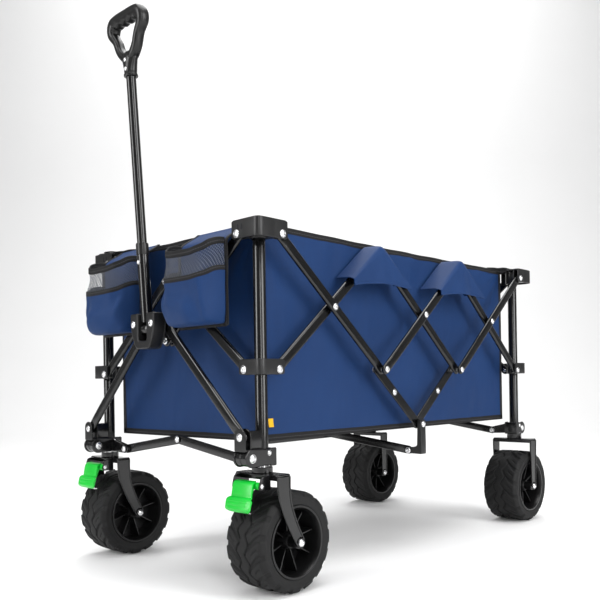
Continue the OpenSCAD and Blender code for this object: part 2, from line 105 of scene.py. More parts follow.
CAMERA_TURN = 43.34
camera = make_camera((1.1504, MID_Y - 1.3234, 0.3598), CAMERA_TURN, -0.88, 44.52, 0.1373)
print("camera at", [round(c, 3) for c in camera.matrix_world.translation])

# %% [markdown]
# ## Shells
# A shell is one closed skin: points, faces, the finish it takes and, on cloth, its flat coordinates in metres. A piece
# is a few shells in one mesh. A skin made inside out is turned round by its volume: the sum over its faces of
# p0 . (p1 x p2) / 6 is positive only when the faces point outwards, so mirrored corners need no special care.

# %% Shells and pieces
class Shell:
    def __init__(self, points, quads, caps=(), finish=0, closed=True, flat=None):
        self.points, self.quads, self.caps = np.asarray(points, float), np.asarray(quads, int), list(caps)
        self.finish, self.closed, self.flat = finish, closed, flat

    def volume(self):
        """Sum over triangles of p0 . (p1 x p2) / 6; a cap is a fan of triangles round its first point."""
        q = self.quads
        tris = [q[:, [0, 1, 2]], q[:, [0, 2, 3]]] if len(q) else []
        for cap in self.caps:
            c = np.asarray(cap)
            tris.append(np.stack([np.full(len(c) - 2, c[0]), c[1:-1], c[2:]], 1))
        t = self.points[np.concatenate(tris)]
        return float((t[:, 0] * np.cross(t[:, 1], t[:, 2])).sum() / 6)

    def faces(self):
        flip = -1 if self.closed and self.volume() < 0 else 1
        return [f[::flip] for f in self.quads.tolist()] + [list(c)[::flip] for c in self.caps]

    def at(self, origin, x=(1, 0, 0), y=(0, 1, 0), z=(0, 0, 1)):
        """The shell moved so that its own axes lie along x, y and z, from origin."""
        turned = self.points @ np.array([x, y, z], float) + np.asarray(origin, float)
        return Shell(turned, self.quads, self.caps, self.finish, self.closed, self.flat)

    def mirrored(self, sx, sy=1):
        """The shell at another corner of the wagon: x and the distance from the wagon's middle change sign."""
        p = self.points * [sx, sy, 1]
        p[:, 1] += MID_Y * (1 - sy)
        return Shell(p, self.quads, self.caps, self.finish, self.closed, self.flat)


def unit_vector(v):
    v = np.asarray(v, float)
    return v / np.linalg.norm(v, axis=-1, keepdims=True)


def grid_quads(m, n, wrap_m=False, wrap_n=False):
    """Each quad joins (i, j), (i+1, j), (i+1, j+1) and (i, j+1); a wrapped side joins its last row to its first."""
    i, j = np.meshgrid(np.arange(m if wrap_m else m - 1), np.arange(n if wrap_n else n - 1), indexing="ij")
    i1, j1 = (i + 1) % m, (j + 1) % n
    return np.stack([i * n + j, i1 * n + j, i1 * n + j1, i * n + j1], -1).reshape(-1, 4)


def tube(rings, finish=0, wrap=False):
    """A skin over rings[i, j]: the rings are closed, and the first and last are capped unless the tube closes."""
    m, n = rings.shape[:2]
    caps = [] if wrap else [np.arange(n)[::-1].tolist(), ((m - 1) * n + np.arange(n)).tolist()]
    return Shell(rings.reshape(-1, 3), grid_quads(m, n, wrap, True), caps, finish)


def piece(name, shells, body, finishes, replaces=(), sharp=38):
    """One mesh of these shells, which rides on a body of the frame and may stand for some of its nodes."""
    starts = np.cumsum([0] + [len(s.points) for s in shells])
    points = np.concatenate([s.points for s in shells])
    faces = [[i + start for i in f] for s, start in zip(shells, starts) for f in s.faces()]
    mesh = bpy.data.meshes.new(name)
    mesh.from_pydata(points.tolist(), [], faces)
    counts = [len(s.quads) + len(s.caps) for s in shells]
    mesh.polygons.foreach_set("material_index", np.repeat([s.finish for s in shells], counts))
    mesh.polygons.foreach_set("use_smooth", np.ones(len(faces), bool))
    if any(s.flat is not None for s in shells):
        flat = np.concatenate([s.flat if s.flat is not None else s.points[:, :2] for s in shells])
        corner = np.zeros(len(mesh.loops), int)
        mesh.loops.foreach_get("vertex_index", corner)
        mesh.uv_layers.new(name="cut").data.foreach_set("uv", flat[corner].ravel())
    mesh.set_sharp_from_angle(angle=math.radians(sharp))
    for finish in finishes:
        mesh.materials.append(finish)
    made = bpy.data.objects.new(name, mesh)
    bpy.context.scene.collection.objects.link(made)
    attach(made, body)
    if replaces:
        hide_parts(*replaces)
    return made


print("a grid of 3 by 4 points has", len(grid_quads(3, 4)), "faces")

# %% [markdown]
# Most hard pieces need one of five shapes: a turned shape, a plate with rounded edges cut to an outline, a section
# carried along a path, a bolt head, or a box with soft edges. Outlines get their corners rounded by short arcs.

# %% Shapes from outlines
def turned(profile, finish=0, steps=40, hollow=False):
    """A turned shape: profile point (r, z) at angle a lies at (r cos a, r sin a, z). A hollow one closes on itself."""
    r, z = np.asarray(profile, float).T
    a = np.linspace(0, 2 * math.pi, steps, endpoint=False)
    rings = np.stack([r[:, None] * np.cos(a), r[:, None] * np.sin(a), np.repeat(z[:, None], steps, 1)], -1)
    return tube(rings, finish, hollow)


def both_ends(half):
    """A profile that is the same at both ends: half of it, then its mirror image in z = 0."""
    return half + [(r, -z) for r, z in half[::-1]]


def rounded(corners, radius, steps=5):
    """The outline with each corner replaced by an arc: a quadratic curve that starts and ends radius from it."""
    c = np.asarray(corners, float)
    r = np.broadcast_to(np.asarray(radius, float), len(c))[:, None]
    before, after = np.roll(c, 1, 0) - c, np.roll(c, -1, 0) - c
    reach_b = np.minimum(r, 0.49 * np.linalg.norm(before, axis=1, keepdims=True))
    reach_a = np.minimum(r, 0.49 * np.linalg.norm(after, axis=1, keepdims=True))
    p, q = c + unit_vector(before) * reach_b, c + unit_vector(after) * reach_a
    t = np.linspace(0, 1, steps)[None, :, None]
    arcs = p[:, None] * (1 - t) ** 2 + c[:, None] * 2 * t * (1 - t) + q[:, None] * t ** 2
    return arcs.reshape(-1, 2)


def inset(outline, d):
    """The outline moved inwards by d along the mean normal at each point (outline counter-clockwise)."""
    e = unit_vector(np.roll(outline, -1, 0) - outline)
    n = np.stack([-e[:, 1], e[:, 0]], 1)
    mean = n + np.roll(n, 1, 0)
    mean /= np.maximum(np.einsum("ij,ij->i", mean, n)[:, None], 0.35)
    return outline + mean * d


def plate(outline, lo, hi, edge=0.0008, finish=0):
    """A flat plate from z = lo to hi, whose rims are quarter circles of radius edge, as on pressed or moulded parts."""
    o = np.asarray(outline, float)
    if (o[:, 0] * np.roll(o[:, 1], -1) - np.roll(o[:, 0], -1) * o[:, 1]).sum() < 0:
        o = o[::-1]
    a = np.radians([0, 30, 60, 90])
    depth, rise = edge * (1 - np.sin(a)), edge * (1 - np.cos(a))
    levels = [(d, lo + r) for d, r in zip(depth, rise)] + [(d, hi - r) for d, r in zip(depth[::-1], rise[::-1])]
    rings = np.stack([np.column_stack([inset(o, d), np.full(len(o), z)]) for d, z in levels])
    return tube(rings, finish)


def block(lo, hi, corner=0.002, edge=0.0008, finish=0):
    """A box from lo to hi with rounded upright corners and rounded rims."""
    (x0, y0, z0), (x1, y1, z1) = lo, hi
    return plate(rounded([(x0, y0), (x1, y0), (x1, y1), (x0, y1)], corner), z0, z1, edge, finish)


def carried(path, section, up, finish=0, wrap=False):
    """A section carried along a path: its first axis is the path's side, up x tangent, and its second lies towards
    up. The section may be one outline or one for each point of the path."""
    path = np.asarray(path, float)
    ahead = np.roll(path, -1, 0) - np.roll(path, 1, 0) if wrap else np.gradient(path, axis=0)
    t = unit_vector(ahead)
    side = unit_vector(np.cross(np.broadcast_to(up, t.shape), t))
    top = np.cross(t, side)
    s = np.asarray(section, float)
    s = np.broadcast_to(s, (len(path), *s.shape[-2:]))
    rings = path[:, None] + s[..., :1] * side[:, None] + s[..., 1:] * top[:, None]
    return tube(rings, finish, wrap)


def oval(width, height, steps=24):
    """A flat-sided oval: two half circles of the smaller size joined by straight lines."""
    a = np.linspace(0, 2 * math.pi, steps, endpoint=False) + math.pi / steps
    r = min(width, height) / 2
    x = r * np.cos(a) + (width / 2 - r) * np.sign(np.cos(a))
    y = r * np.sin(a) + (height / 2 - r) * np.sign(np.sin(a))
    return np.stack([x, y], 1)


def axes_along(axis):
    """Three perpendicular directions, the last one along axis."""
    w = unit_vector(axis)
    u = unit_vector(np.cross([0, 0, 1] if abs(w[2]) < 0.9 else [1, 0, 0], w))
    return u, np.cross(w, u), w


def bolt(centre, axis, radius=0.0062, height=0.0036, finish=1):
    """A domed rivet head on a washer, with a small socket in its crown, turned about axis from centre."""
    r, h = radius, height
    profile = [(1.18 * r, 0), (1.18 * r, 0.22 * h), (r, 0.24 * h), (0.97 * r, 0.5 * h), (0.8 * r, 0.8 * h),
               (0.55 * r, 0.96 * h), (0.36 * r, h), (0.33 * r, 0.97 * h), (0.3 * r, 0.7 * h)]
    u, v, w = axes_along(axis)
    return turned(profile, finish, 20).at(centre, u, v, w)


def rod(a, b, radius, finish=0, steps=16, edge=0.0006):
    """A round bar from a to b with softened ends."""
    a, b = np.asarray(a, float), np.asarray(b, float)
    length = np.linalg.norm(b - a)
    u, v, w = axes_along(b - a)
    profile = [(radius - edge, 0), (radius, edge), (radius, length - edge), (radius - edge, length)]
    return turned(profile, finish, steps).at(a, u, v, w)


print("a 20 x 10 mm plate, 2 mm thick:",
      round(plate([(0, 0), (.02, 0), (.02, .01), (0, .01)], 0, .002, 0).volume() * 1e9), "mm3")

# %% [markdown]
# ## Finishes
# A finish is a node tree. Written out as nodes it is long, so a small class wraps one socket and gives it Python's
# operators: `0.3 + 0.2 * noise` adds the two Math nodes. Colours go through Mix nodes, because a Math node would turn
# them grey. Patterns on steel and plastic read the object's own coordinates, and those on cloth its flat coordinates.

# %% Shader expressions
class Value:
    """A socket of a finish. An expression on it adds Math nodes to the finish's tree."""

    def __init__(self, finish, socket):
        self.finish, self.socket = finish, socket

    def math(self, operation, *inputs):
        return self.finish.node("ShaderNodeMath", {"operation": operation}, dict(enumerate(inputs)))

    def __add__(self, other): return self.math("ADD", self, other)
    def __radd__(self, other): return self.math("ADD", other, self)
    def __sub__(self, other): return self.math("SUBTRACT", self, other)
    def __rsub__(self, other): return self.math("SUBTRACT", other, self)
    def __mul__(self, other): return self.math("MULTIPLY", self, other)
    def __rmul__(self, other): return self.math("MULTIPLY", other, self)
    def __truediv__(self, other): return self.math("DIVIDE", self, other)
    def __pow__(self, other): return self.math("POWER", self, other)
    def __mod__(self, other): return self.math("FLOORED_MODULO", self, other)
    def __gt__(self, other): return self.math("GREATER_THAN", self, other)
    def __lt__(self, other): return self.math("LESS_THAN", self, other)
    def sin(self): return self.math("SINE", self)
    def abs(self): return self.math("ABSOLUTE", self)
    def clamp(self): return self.math("MINIMUM", self.math("MAXIMUM", self, 0.0), 1.0)


class Finish:
    """A material. fixed sets the shader's own sockets; what varies is joined to them afterwards."""

    def __init__(self, name, **fixed):
        self.material = bpy.data.materials.new(name)
        self.material.use_nodes = True
        self.tree = self.material.node_tree
        self.shader = self.tree.nodes["Principled BSDF"]
        for socket, value in fixed.items():
            self.shader.inputs[socket.replace("_", " ").replace("Ior", "IOR")].default_value = value

    def node(self, kind, settings=None, sockets=None, out=0):
        """Adds a node of this kind: its settings first, then the values or links of its sockets."""
        n = self.tree.nodes.new(kind)
        for key, value in (settings or {}).items():
            if key == "stops":
                ramp = n.color_ramp.elements
                for i, (place, colour) in enumerate(value):
                    e = ramp[i] if i < 2 else ramp.new(place)
                    e.position, e.color = place, colour
            else:
                setattr(n, key, value)
        for key, value in (sockets or {}).items():
            if isinstance(value, Value):
                self.tree.links.new(value.socket, n.inputs[key])
            else:
                n.inputs[key].default_value = value
        return Value(self, n.outputs[out])

    def feed(self, socket, value):
        self.tree.links.new(value.socket, self.shader.inputs[socket])

    def places(self):
        """The object's own coordinates, in metres."""
        return self.node("ShaderNodeTexCoord", out=3)

    def cut(self):
        """The cloth's flat coordinates along and across, in metres."""
        uv = self.node("ShaderNodeUVMap", {"uv_map": "cut"})
        split = self.node("ShaderNodeSeparateXYZ", None, {0: uv})
        return uv, split, Value(self, split.socket.node.outputs[1])

    def noise(self, scale, detail=2.0, stretch=None, where=None):
        """Smooth noise from 0 to 1; stretch scales its axes."""
        where = where or self.places()
        if stretch:
            where = self.node("ShaderNodeVectorMath", {"operation": "MULTIPLY"}, {0: where, 1: stretch})
        return self.node("ShaderNodeTexNoise", None, {"Vector": where, "Scale": scale, "Detail": detail})

    def mix(self, share, a, b):
        """A colour between a and b."""
        rgba = [c if isinstance(c, Value) else (*c, 1.0) for c in (a, b)]
        return self.node("ShaderNodeMix", {"data_type": "RGBA"}, {0: share, 6: rgba[0], 7: rgba[1]}, out=2)

    def bump(self, height, depth, strength=1.0):
        """A relief whose height 0 to 1 stands depth metres high."""
        made = self.node("ShaderNodeBump", None, {"Height": height, "Distance": depth, "Strength": strength})
        self.feed("Normal", made)


print("methods of a finish:", [n for n in vars(Finish) if not n.startswith("_")])

# %% [markdown]
# The hard finishes: powder coat has a fine orange-peel ripple and a gloss that varies from place to place, moulded
# plastic has a fine grain, zinc-plated rivets are bright metal with brushed marks, and rubber is matte with a bloom.

# %% Steel, plastic and rubber
def powder_coat():
    f = Finish("powder_coat", Specular_IOR_Level=0.36, Coat_Roughness=0.08)
    cloudy, peel = f.noise(14, 3), f.noise(900, 1)
    f.feed("Base Color", f.mix(cloudy, (0.0010, 0.0010, 0.0012), (0.0034, 0.0034, 0.0038)))
    f.feed("Roughness", 0.15 + 0.12 * cloudy)
    f.feed("Coat Weight", 0.10 + 0.3 * cloudy)
    f.bump(peel, 0.00004, 0.6)
    return f.material


def moulded(name, dark, light, rough, grain=1400.0, depth=0.00012):
    f = Finish(name, Specular_IOR_Level=0.34)
    cloudy, fine = f.noise(22, 3), f.noise(grain, 2)
    f.feed("Base Color", f.mix((cloudy * 0.6 + fine * 0.4).clamp(), dark, light))
    f.feed("Roughness", rough + 0.16 * (cloudy - 0.5))
    f.bump(fine, depth, 0.7)
    return f.material


def zinc():
    f = Finish("bright_zinc", Metallic=1.0)
    brushed = f.noise(260, 2, (1, 1, 9))
    f.feed("Base Color", f.mix(brushed, (0.62, 0.62, 0.64), (0.9, 0.9, 0.9)))
    f.feed("Roughness", 0.16 + 0.2 * brushed)
    f.bump(brushed, 0.00003, 0.5)
    return f.material


def tyre_rubber():
    f = Finish("tyre_rubber", Specular_IOR_Level=0.28)
    bloom, fine = f.noise(9, 4), f.noise(700, 2)
    f.feed("Base Color", f.mix(bloom, (0.0022, 0.0022, 0.0023), (0.0075, 0.0075, 0.0078)))
    f.feed("Roughness", 0.5 + 0.2 * bloom + 0.1 * fine)
    f.bump(fine, 0.00015, 0.6)
    return f.material


def brake_plastic():
    f = Finish("brake_green", Specular_IOR_Level=0.4, Coat_Roughness=0.15)
    cloudy, fine = f.noise(40, 2), f.noise(1100, 1)
    f.feed("Base Color", f.mix(cloudy, (0.0, 0.40, 0.022), (0.001, 0.50, 0.034)))
    f.feed("Roughness", 0.3 + 0.15 * cloudy)
    f.feed("Coat Weight", 0.1 + 0.3 * cloudy)
    f.bump(fine, 0.00006, 0.5)
    return f.material


STEEL, ZINC = powder_coat(), zinc()
FITTING = moulded("fitting_plastic", (0.006, 0.006, 0.0063), (0.014, 0.014, 0.0145), 0.34)
GRIP = moulded("grip_plastic", (0.003, 0.003, 0.0032), (0.009, 0.009, 0.009), 0.3, 1800.0, 0.00008)
RIM = moulded("rim_plastic", (0.0025, 0.0025, 0.0028), (0.008, 0.008, 0.0083), 0.34, 900.0, 0.0001)
RUBBER, GREEN = tyre_rubber(), brake_plastic()
HARD = [STEEL, ZINC]
print("hard finishes", [m.name for m in (STEEL, ZINC, FITTING, GRIP, RIM, RUBBER, GREEN)])

# %% [markdown]
# The tub is woven from thick polyester yarn. A plain weave is over-and-under squares: with u and v counted in yarns,
# the warp stands up where sin(pi u) sin(pi v) is positive and the weft where it is negative. The yarns also differ a
# little in shade. A large soft noise also mixes each cloth between a shaded and a lit copy of its colour: painted
# shade of the creases. Bindings are ribbed tape with a stitch line near one edge. The net is a thin sheet whose
# finish is clear between its threads.

# %% Cloth, tape and net
def woven(name, shadow, light, yarn=0.0007, sheen=0.02):
    f = Finish(name, Sheen_Weight=sheen, Sheen_Roughness=0.4, Specular_IOR_Level=0.16)
    uv, u, v = f.cut()
    over = (u * (math.pi / yarn)).sin() * (v * (math.pi / yarn)).sin()
    yarns = f.noise(1.0, 1, (260.0, 12.0, 1.0), uv) * 0.5 + f.noise(1.0, 1, (12.0, 260.0, 1.0), uv) * 0.5
    # painted shade: this large noise mixes the cloth between its shaded and lit colour, as the shade of creases; it
    # also varies the roughness
    crease_shade = f.noise(7, 3)
    shade = (0.45 * yarns + 0.35 * crease_shade + 0.12 + 0.08 * over).clamp()
    f.feed("Base Color", f.mix(shade, shadow, light))
    f.feed("Roughness", 0.62 - 0.12 * crease_shade + 0.1 * yarns)
    f.bump(over * 0.5 + 0.5 + 0.6 * yarns, 0.00016, 0.55)
    return f.material


def tape():
    f = Finish("binding_tape", Sheen_Weight=0.02, Sheen_Roughness=0.5, Specular_IOR_Level=0.2)
    _, u, v = f.cut()
    ribs = (u * (2 * math.pi / 0.0016)).sin() * 0.5 + 0.5
    stitched = ((u % 0.0045) < 0.003) * ((v - 0.0055).abs() < 0.0006)
    f.feed("Base Color", f.mix(stitched, f.mix(ribs, (0.003, 0.003, 0.0035), (0.009, 0.009, 0.010)),
                               (0.04, 0.04, 0.044)))
    f.feed("Roughness", 0.6 + 0.2 * ribs)
    f.bump(ribs + 1.5 * stitched, 0.0002, 0.6)
    return f.material


def net():
    f = Finish("pocket_net", Specular_IOR_Level=0.3)
    _, u, v = f.cut()
    one, two = ((u + v) % 0.0058), ((u - v) % 0.0058)
    thread = ((one < 0.0008) + (two < 0.0008)).clamp()
    f.feed("Base Color", f.mix(f.noise(300, 1), (0.05, 0.055, 0.07), (0.16, 0.17, 0.19)))
    f.feed("Roughness", 0.6 + 0.2 * f.noise(500, 1))
    f.feed("Alpha", thread)
    return f.material


# each cloth gets a shaded and a lit copy of its colour, and the noise between them is painted shade
NAVY = woven("navy_cloth", (0.0030, 0.0150, 0.060), (0.0085, 0.0375, 0.128), 0.0007, 0.02)
LINING = woven("black_cloth", (0.006, 0.006, 0.008), (0.02, 0.02, 0.024))
TAG = woven("yellow_label", (0.5, 0.27, 0.01), (0.75, 0.45, 0.02))
TAPE, NET = tape(), net()
CLOTH = [NAVY, TAPE, NET, LINING]
print("soft finishes", [m.name for m in CLOTH])

# %% [markdown]
# ## Posts and their sliding fittings
# Each corner is a round tube. A moulded bracket caps it, and a collar slides on it below, and each has a wing along the
# side and one along the end, where the crossed bars are riveted. A band bent round the outer corner makes both wings'
# faces, so it is one section carried along an L with a round corner. Corners are drawn once, at the front right, from
# the post's axis, and mirrored.

# %% Brackets and collars
def corner_places(shells, sx, sy, z=0.0):
    """Moves shells from the post's own axes to the front right post, and mirrors them to another corner."""
    return [s.at((POST_X, FRONT_Y, z)).mirrored(sx, sy) for s in shells]


def fitting(side_k, face_k, lo, hi, pivot, capped):
    """A sleeve and an L-shaped band of height hi - lo; the band lies just outside the arm planes of its two wings."""
    wall, slot = 0.003, ARM_T / 2 + ARM_GAP
    ox, oy = (SIDE_PLANE[0] + (k - 1) * PITCH + slot + wall / 2 for k in (side_k, face_k))
    side_end, face_end = SIDE_Y0 - FRONT_Y, POST_X - FACE_RUN
    reach_s, reach_f = side_end + 0.012, face_end + 0.012
    turn = rounded([(ox, 0.012), (ox, -oy), (-0.012, -oy)], [0.001, 0.010, 0.001], 9)[5:-5]
    path = np.concatenate([np.column_stack([np.full(7, ox), np.linspace(reach_s, 0.014, 7)]), turn,
                           np.column_stack([np.linspace(-0.014, -reach_f, 7), np.full(7, -oy)])])
    path = np.column_stack([path, np.full(len(path), (lo + hi) / 2)])
    gone = np.concatenate([[0], np.cumsum(np.linalg.norm(np.diff(path, axis=0), axis=1))])
    end = np.minimum(gone, gone[-1] - gone) / 0.005
    height = (hi - lo) - 0.006 * (1 - np.sqrt(1 - np.clip(1 - end, 0, 0.94) ** 2))
    band = carried(path, np.stack([oval(wall, h, 20) for h in height]), (0, 0, 1))
    bore = 0.0112
    sleeve = turned([(bore, lo), (0.0155, lo), (0.016, lo + 0.001), (0.016, hi - 0.001), (0.0155, hi), (bore, hi)],
                    0, 40, True)
    shells = [band, sleeve]
    for along, out, end in ((0, ox, side_end), (1, oy, face_end)):
        inner = out - wall / 2 - 2 * slot
        root = end - 0.012
        web = block((0.006, 0.002, lo + 0.0006), (out - wall / 2 + 0.0004, root, hi - 0.0006), 0.0015)
        cheek = block((inner - wall, root - 0.004, lo + 0.001), (inner, end + 0.011, hi - 0.001), 0.0012)
        parts = [web] + ([cheek] if inner - wall > 0.0005 else [])
        if capped:
            parts.append(block((0.004, -0.004, hi - 0.003), (out, end + 0.0115, hi), 0.003, 0.0012))
        if along:
            parts = [s.at((0, 0, 0), (0, -1, 0), (-1, 0, 0)) for s in parts]
        shells += parts
    if capped:
        shells.append(turned([(0.016, hi - 0.002), (0.0172, hi - 0.0006), (0.0165, hi + 0.0008),
                              (0.009, hi + 0.0022)], 0, 36))
    shells += [bolt((ox + wall / 2, side_end, pivot), (1, 0, 0)),
               bolt((-face_end, -oy - wall / 2, pivot), (0, -1, 0))]
    shells.append(rod((ox - 0.012, side_end, pivot), (ox, side_end, pivot), PIN_R, 1))
    shells.append(rod((-face_end, -oy + 0.012, pivot), (-face_end, -oy, pivot), PIN_R, 1))
    return shells, oy + wall / 2


def keyhole_shade(x, z, face, size=0.0026):
    """A thin dark plate on the face, painted shade for the inside of a slot: a round with a narrow neck above it."""
    a = np.radians(np.linspace(-240, 60, 15))
    o = np.concatenate([np.stack([size * np.cos(a), size * np.sin(a)], 1), [(0.0012, 0.0075), (-0.0012, 0.0075)]])
    return plate(o, 0, 0.0003, 0.0001, 2).at((x, -face, z), (1, 0, 0), (0, 0, 1), (0, -1, 0))


SIDES = (("r", 1), ("l", -1))
CORNERS = {"fr": (1, 1), "fl": (-1, 1), "rr": (1, -1), "rl": (-1, -1)}
POSTS = {"fr": "front_right_post", "fl": "front_left_post", "rr": "rear_right_post", "rl": "rear_left_post"}
BRACKET_PLANES = {"fr": (2, 2), "fl": (2, 1), "rr": (3, 2), "rl": (3, 1)}
COLLAR_PLANES = {"fr": (1, 1), "fl": (1, 2), "rr": (2, 1), "rl": (2, 2)}
for c, (sx, sy) in CORNERS.items():
    box_lo, box_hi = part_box(f"top_bracket_{c}")
    shells, face = fitting(*BRACKET_PLANES[c], box_lo.z, box_hi.z, TOP_Z, True)
    # painted shade: two dark plates in the black cloth finish stand for the dark inside of the bracket's slots
    shells += [keyhole_shade(-0.013, TOP_Z + 0.008, face), keyhole_shade(-0.022, TOP_Z + 0.0085, face, 0.0022)]
    piece(f"bracket_{c}", corner_places(shells, sx, sy), POSTS[c], [FITTING, ZINC, LINING], [f"top_bracket_{c}"])
    box_lo, box_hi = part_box(f"collar_{c}")
    shells, face = fitting(*COLLAR_PLANES[c], box_lo.z, box_hi.z, LOW_Z, False)
    made = piece(f"slider_{c}", corner_places(shells, sx, sy), f"collar_{c}", [FITTING, ZINC], [f"collar_{c}"])
print("a collar has", len(made.data.polygons), "faces")

# %% [markdown]
# ## Feet
# Under each post sits a hinge housing: two pressed cheeks, round at the front over a big hinge pin, with a knuckle
# between them and a lug that points inwards for the bars under the floor. The front feet also carry a fork for the
# handle frame's strut. Cheeks are plates cut to an outline in the side view.

# %% Posts and feet
BLOCK_Z = PIVOT["caster_r"][2] - 0.006
POST_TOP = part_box("post_fr")[1].z
STRUT = PIVOT["pivot_handle_strut_r"]
STRUT_OUT = FRONT_Y - STRUT[1]
LUG_X, LUG_Z = 0.060, BLOCK_Z + 0.009
TOGGLE = (0.018, 0.006)


def upright(shell, x):
    """A plate drawn in (y, z) stood up at x, with its thickness along +x."""
    return shell.at((x, 0, 0), (0, 1, 0), (0, 0, 1), (1, 0, 0))


def facing(shell, y):
    """A plate drawn in (x, z) stood up at y, with its thickness along -y."""
    return shell.at((0, y, 0), (1, 0, 0), (0, 0, 1), (0, -1, 0))


def foot(front):
    """A housing 31 mm tall: its cheeks end in a half circle of radius 15.5 mm about the hinge pin."""
    lo, hi, r = BLOCK_Z + 0.001, BLOCK_Z + 0.032, 0.0155
    pin_y, pin_z = -0.037 if front else -0.012, (lo + hi) / 2
    a = np.radians(np.linspace(90, 270, 19))
    nose = np.stack([pin_y + r * np.cos(a), pin_z + r * np.sin(a)], 1)
    cheek = np.concatenate([nose, rounded([(0.004, lo), (0.019, lo), (0.019, hi), (0.004, hi)], 0.003)])
    shells = [upright(plate(cheek, 0, 0.004, 0.0012), x) for x in (0.0125, -0.0165)]
    shells.append(block((-0.0130, max(pin_y + 0.012, -0.02), lo + 0.001), (0.0130, 0.0185, hi - 0.001), 0.002))
    groove = both_ends([(0.011, -0.012), (0.0138, -0.0112), (0.0138, -0.0015), (0.0128, -0.0008)])
    shells.append(turned(groove, 0, 36).at((0, pin_y, pin_z), (0, 1, 0), (0, 0, 1), (1, 0, 0)))
    for s in (1, -1):
        shells.append(bolt((s * 0.0165, pin_y, pin_z), (s, 0, 0), 0.0064, 0.003))
        shells.append(bolt((s * 0.0165, 0.0015, hi - 0.0085), (s, 0, 0), 0.0038, 0.002))
    b = np.radians(np.linspace(110, 250, 13))
    lug = np.concatenate([[(-0.012, lo + 0.002)], [(-0.012, hi - 0.003)],
                          np.stack([-LUG_X + 0.0088 * np.cos(b), LUG_Z + 0.0088 * np.sin(b)], 1)])
    shells += [facing(plate(lug, 0, 0.0028, 0.0008), y) for y in (-0.0025, 0.0055)]
    shells += [bolt((-LUG_X, s * 0.0054, LUG_Z), (0, s, 0), 0.0055, 0.0028) for s in (1, -1)]
    return shells, hi


def strut_fork(hi):
    """A U of plate, open upwards and inwards, that holds the lower end of the handle frame's strut."""
    x, y, z = 0.0, -STRUT_OUT, STRUT[2]
    half = ARM_T / 2 + ARM_GAP
    a = np.radians(np.linspace(0, 180, 13))
    head = np.stack([x + 0.0135 * np.cos(a), z + 0.002 + 0.0125 * np.sin(a)], 1)
    front = rounded(np.concatenate([head, [(x - 0.0135, hi - 0.004), (x + 0.0135, hi - 0.004)]]), 0.001, 2)
    shells = [facing(plate(front, 0, 0.0022, 0.0007), y - half),
              facing(plate(front, 0, 0.003, 0.0007), y + half + 0.003)]
    shells.append(block((x - 0.0135, y - half - 0.001, hi - 0.004), (x + 0.0135, -0.009, hi), 0.001))
    shells.append(block((x - 0.009, y + half + 0.002, hi - 0.001), (x + 0.009, -0.008, z + 0.010), 0.002))
    shells.append(bolt((x, y - half - 0.0022, z), (0, -1, 0), 0.0058, 0.0026))
    shells.append(rod((x, y - half, z), (x, y + half, z), 0.0038, 1))
    return shells


def post_tube(top):
    """A tube turned from its profile, open at the bottom, with a rolled top."""
    r, w = 0.011, 0.0015
    return turned([(r - w, BLOCK_Z + 0.004), (r, BLOCK_Z + 0.004), (r, top - 0.001), (r - 0.0006, top - 0.0002),
                   (r - w, top - 0.0002)], 0, 48, True)


for c, (sx, sy) in CORNERS.items():
    if c[0] == "f":
        shells, hi = foot(True)
        shells += [post_tube(POST_TOP)] + strut_fork(hi)
        piece(f"upright_{c}", corner_places(shells, sx, sy), POSTS[c], HARD, [f"post_{c}"])
print("the strut's pin stands", round(STRUT_OUT * 1000, 1), "mm in front of the post")

# %% [markdown]
# ## Forks
# A fork is a pressed channel: a crown with a lip, and two legs. The casters' legs sweep back to the axle, so that the
# wheel trails, and the rear legs drop straight. A leg is an outline at a width either side of a smooth centre line,
# and a rib runs down each edge, as the folded edge of the real pressing does.

# %% Forks
FORK_LO, FORK_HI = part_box("fork_r")
LEG_X = (FORK_HI.x - FORK_LO.x) / 2 - 0.005
CROWN_TOP = BLOCK_Z - 0.0103


def smooth(points, steps=40):
    """A smooth line through points: each stretch is a cubic whose slope at a point is half the step between its
    neighbours (Catmull-Rom)."""
    p = np.asarray(points, float)
    q = np.concatenate([[2 * p[0] - p[1]], p, [2 * p[-1] - p[-2]]])
    s = np.linspace(0, len(p) - 1 - 1e-9, steps)
    i, t = s.astype(int), (s % 1)[:, None]
    a, b, c, d = q[i], q[i + 1], q[i + 2], q[i + 3]
    return 0.5 * (2 * b + (c - a) * t + (2 * a - 5 * b + 4 * c - d) * t ** 2 + (3 * b - a - 3 * c + d) * t ** 3)


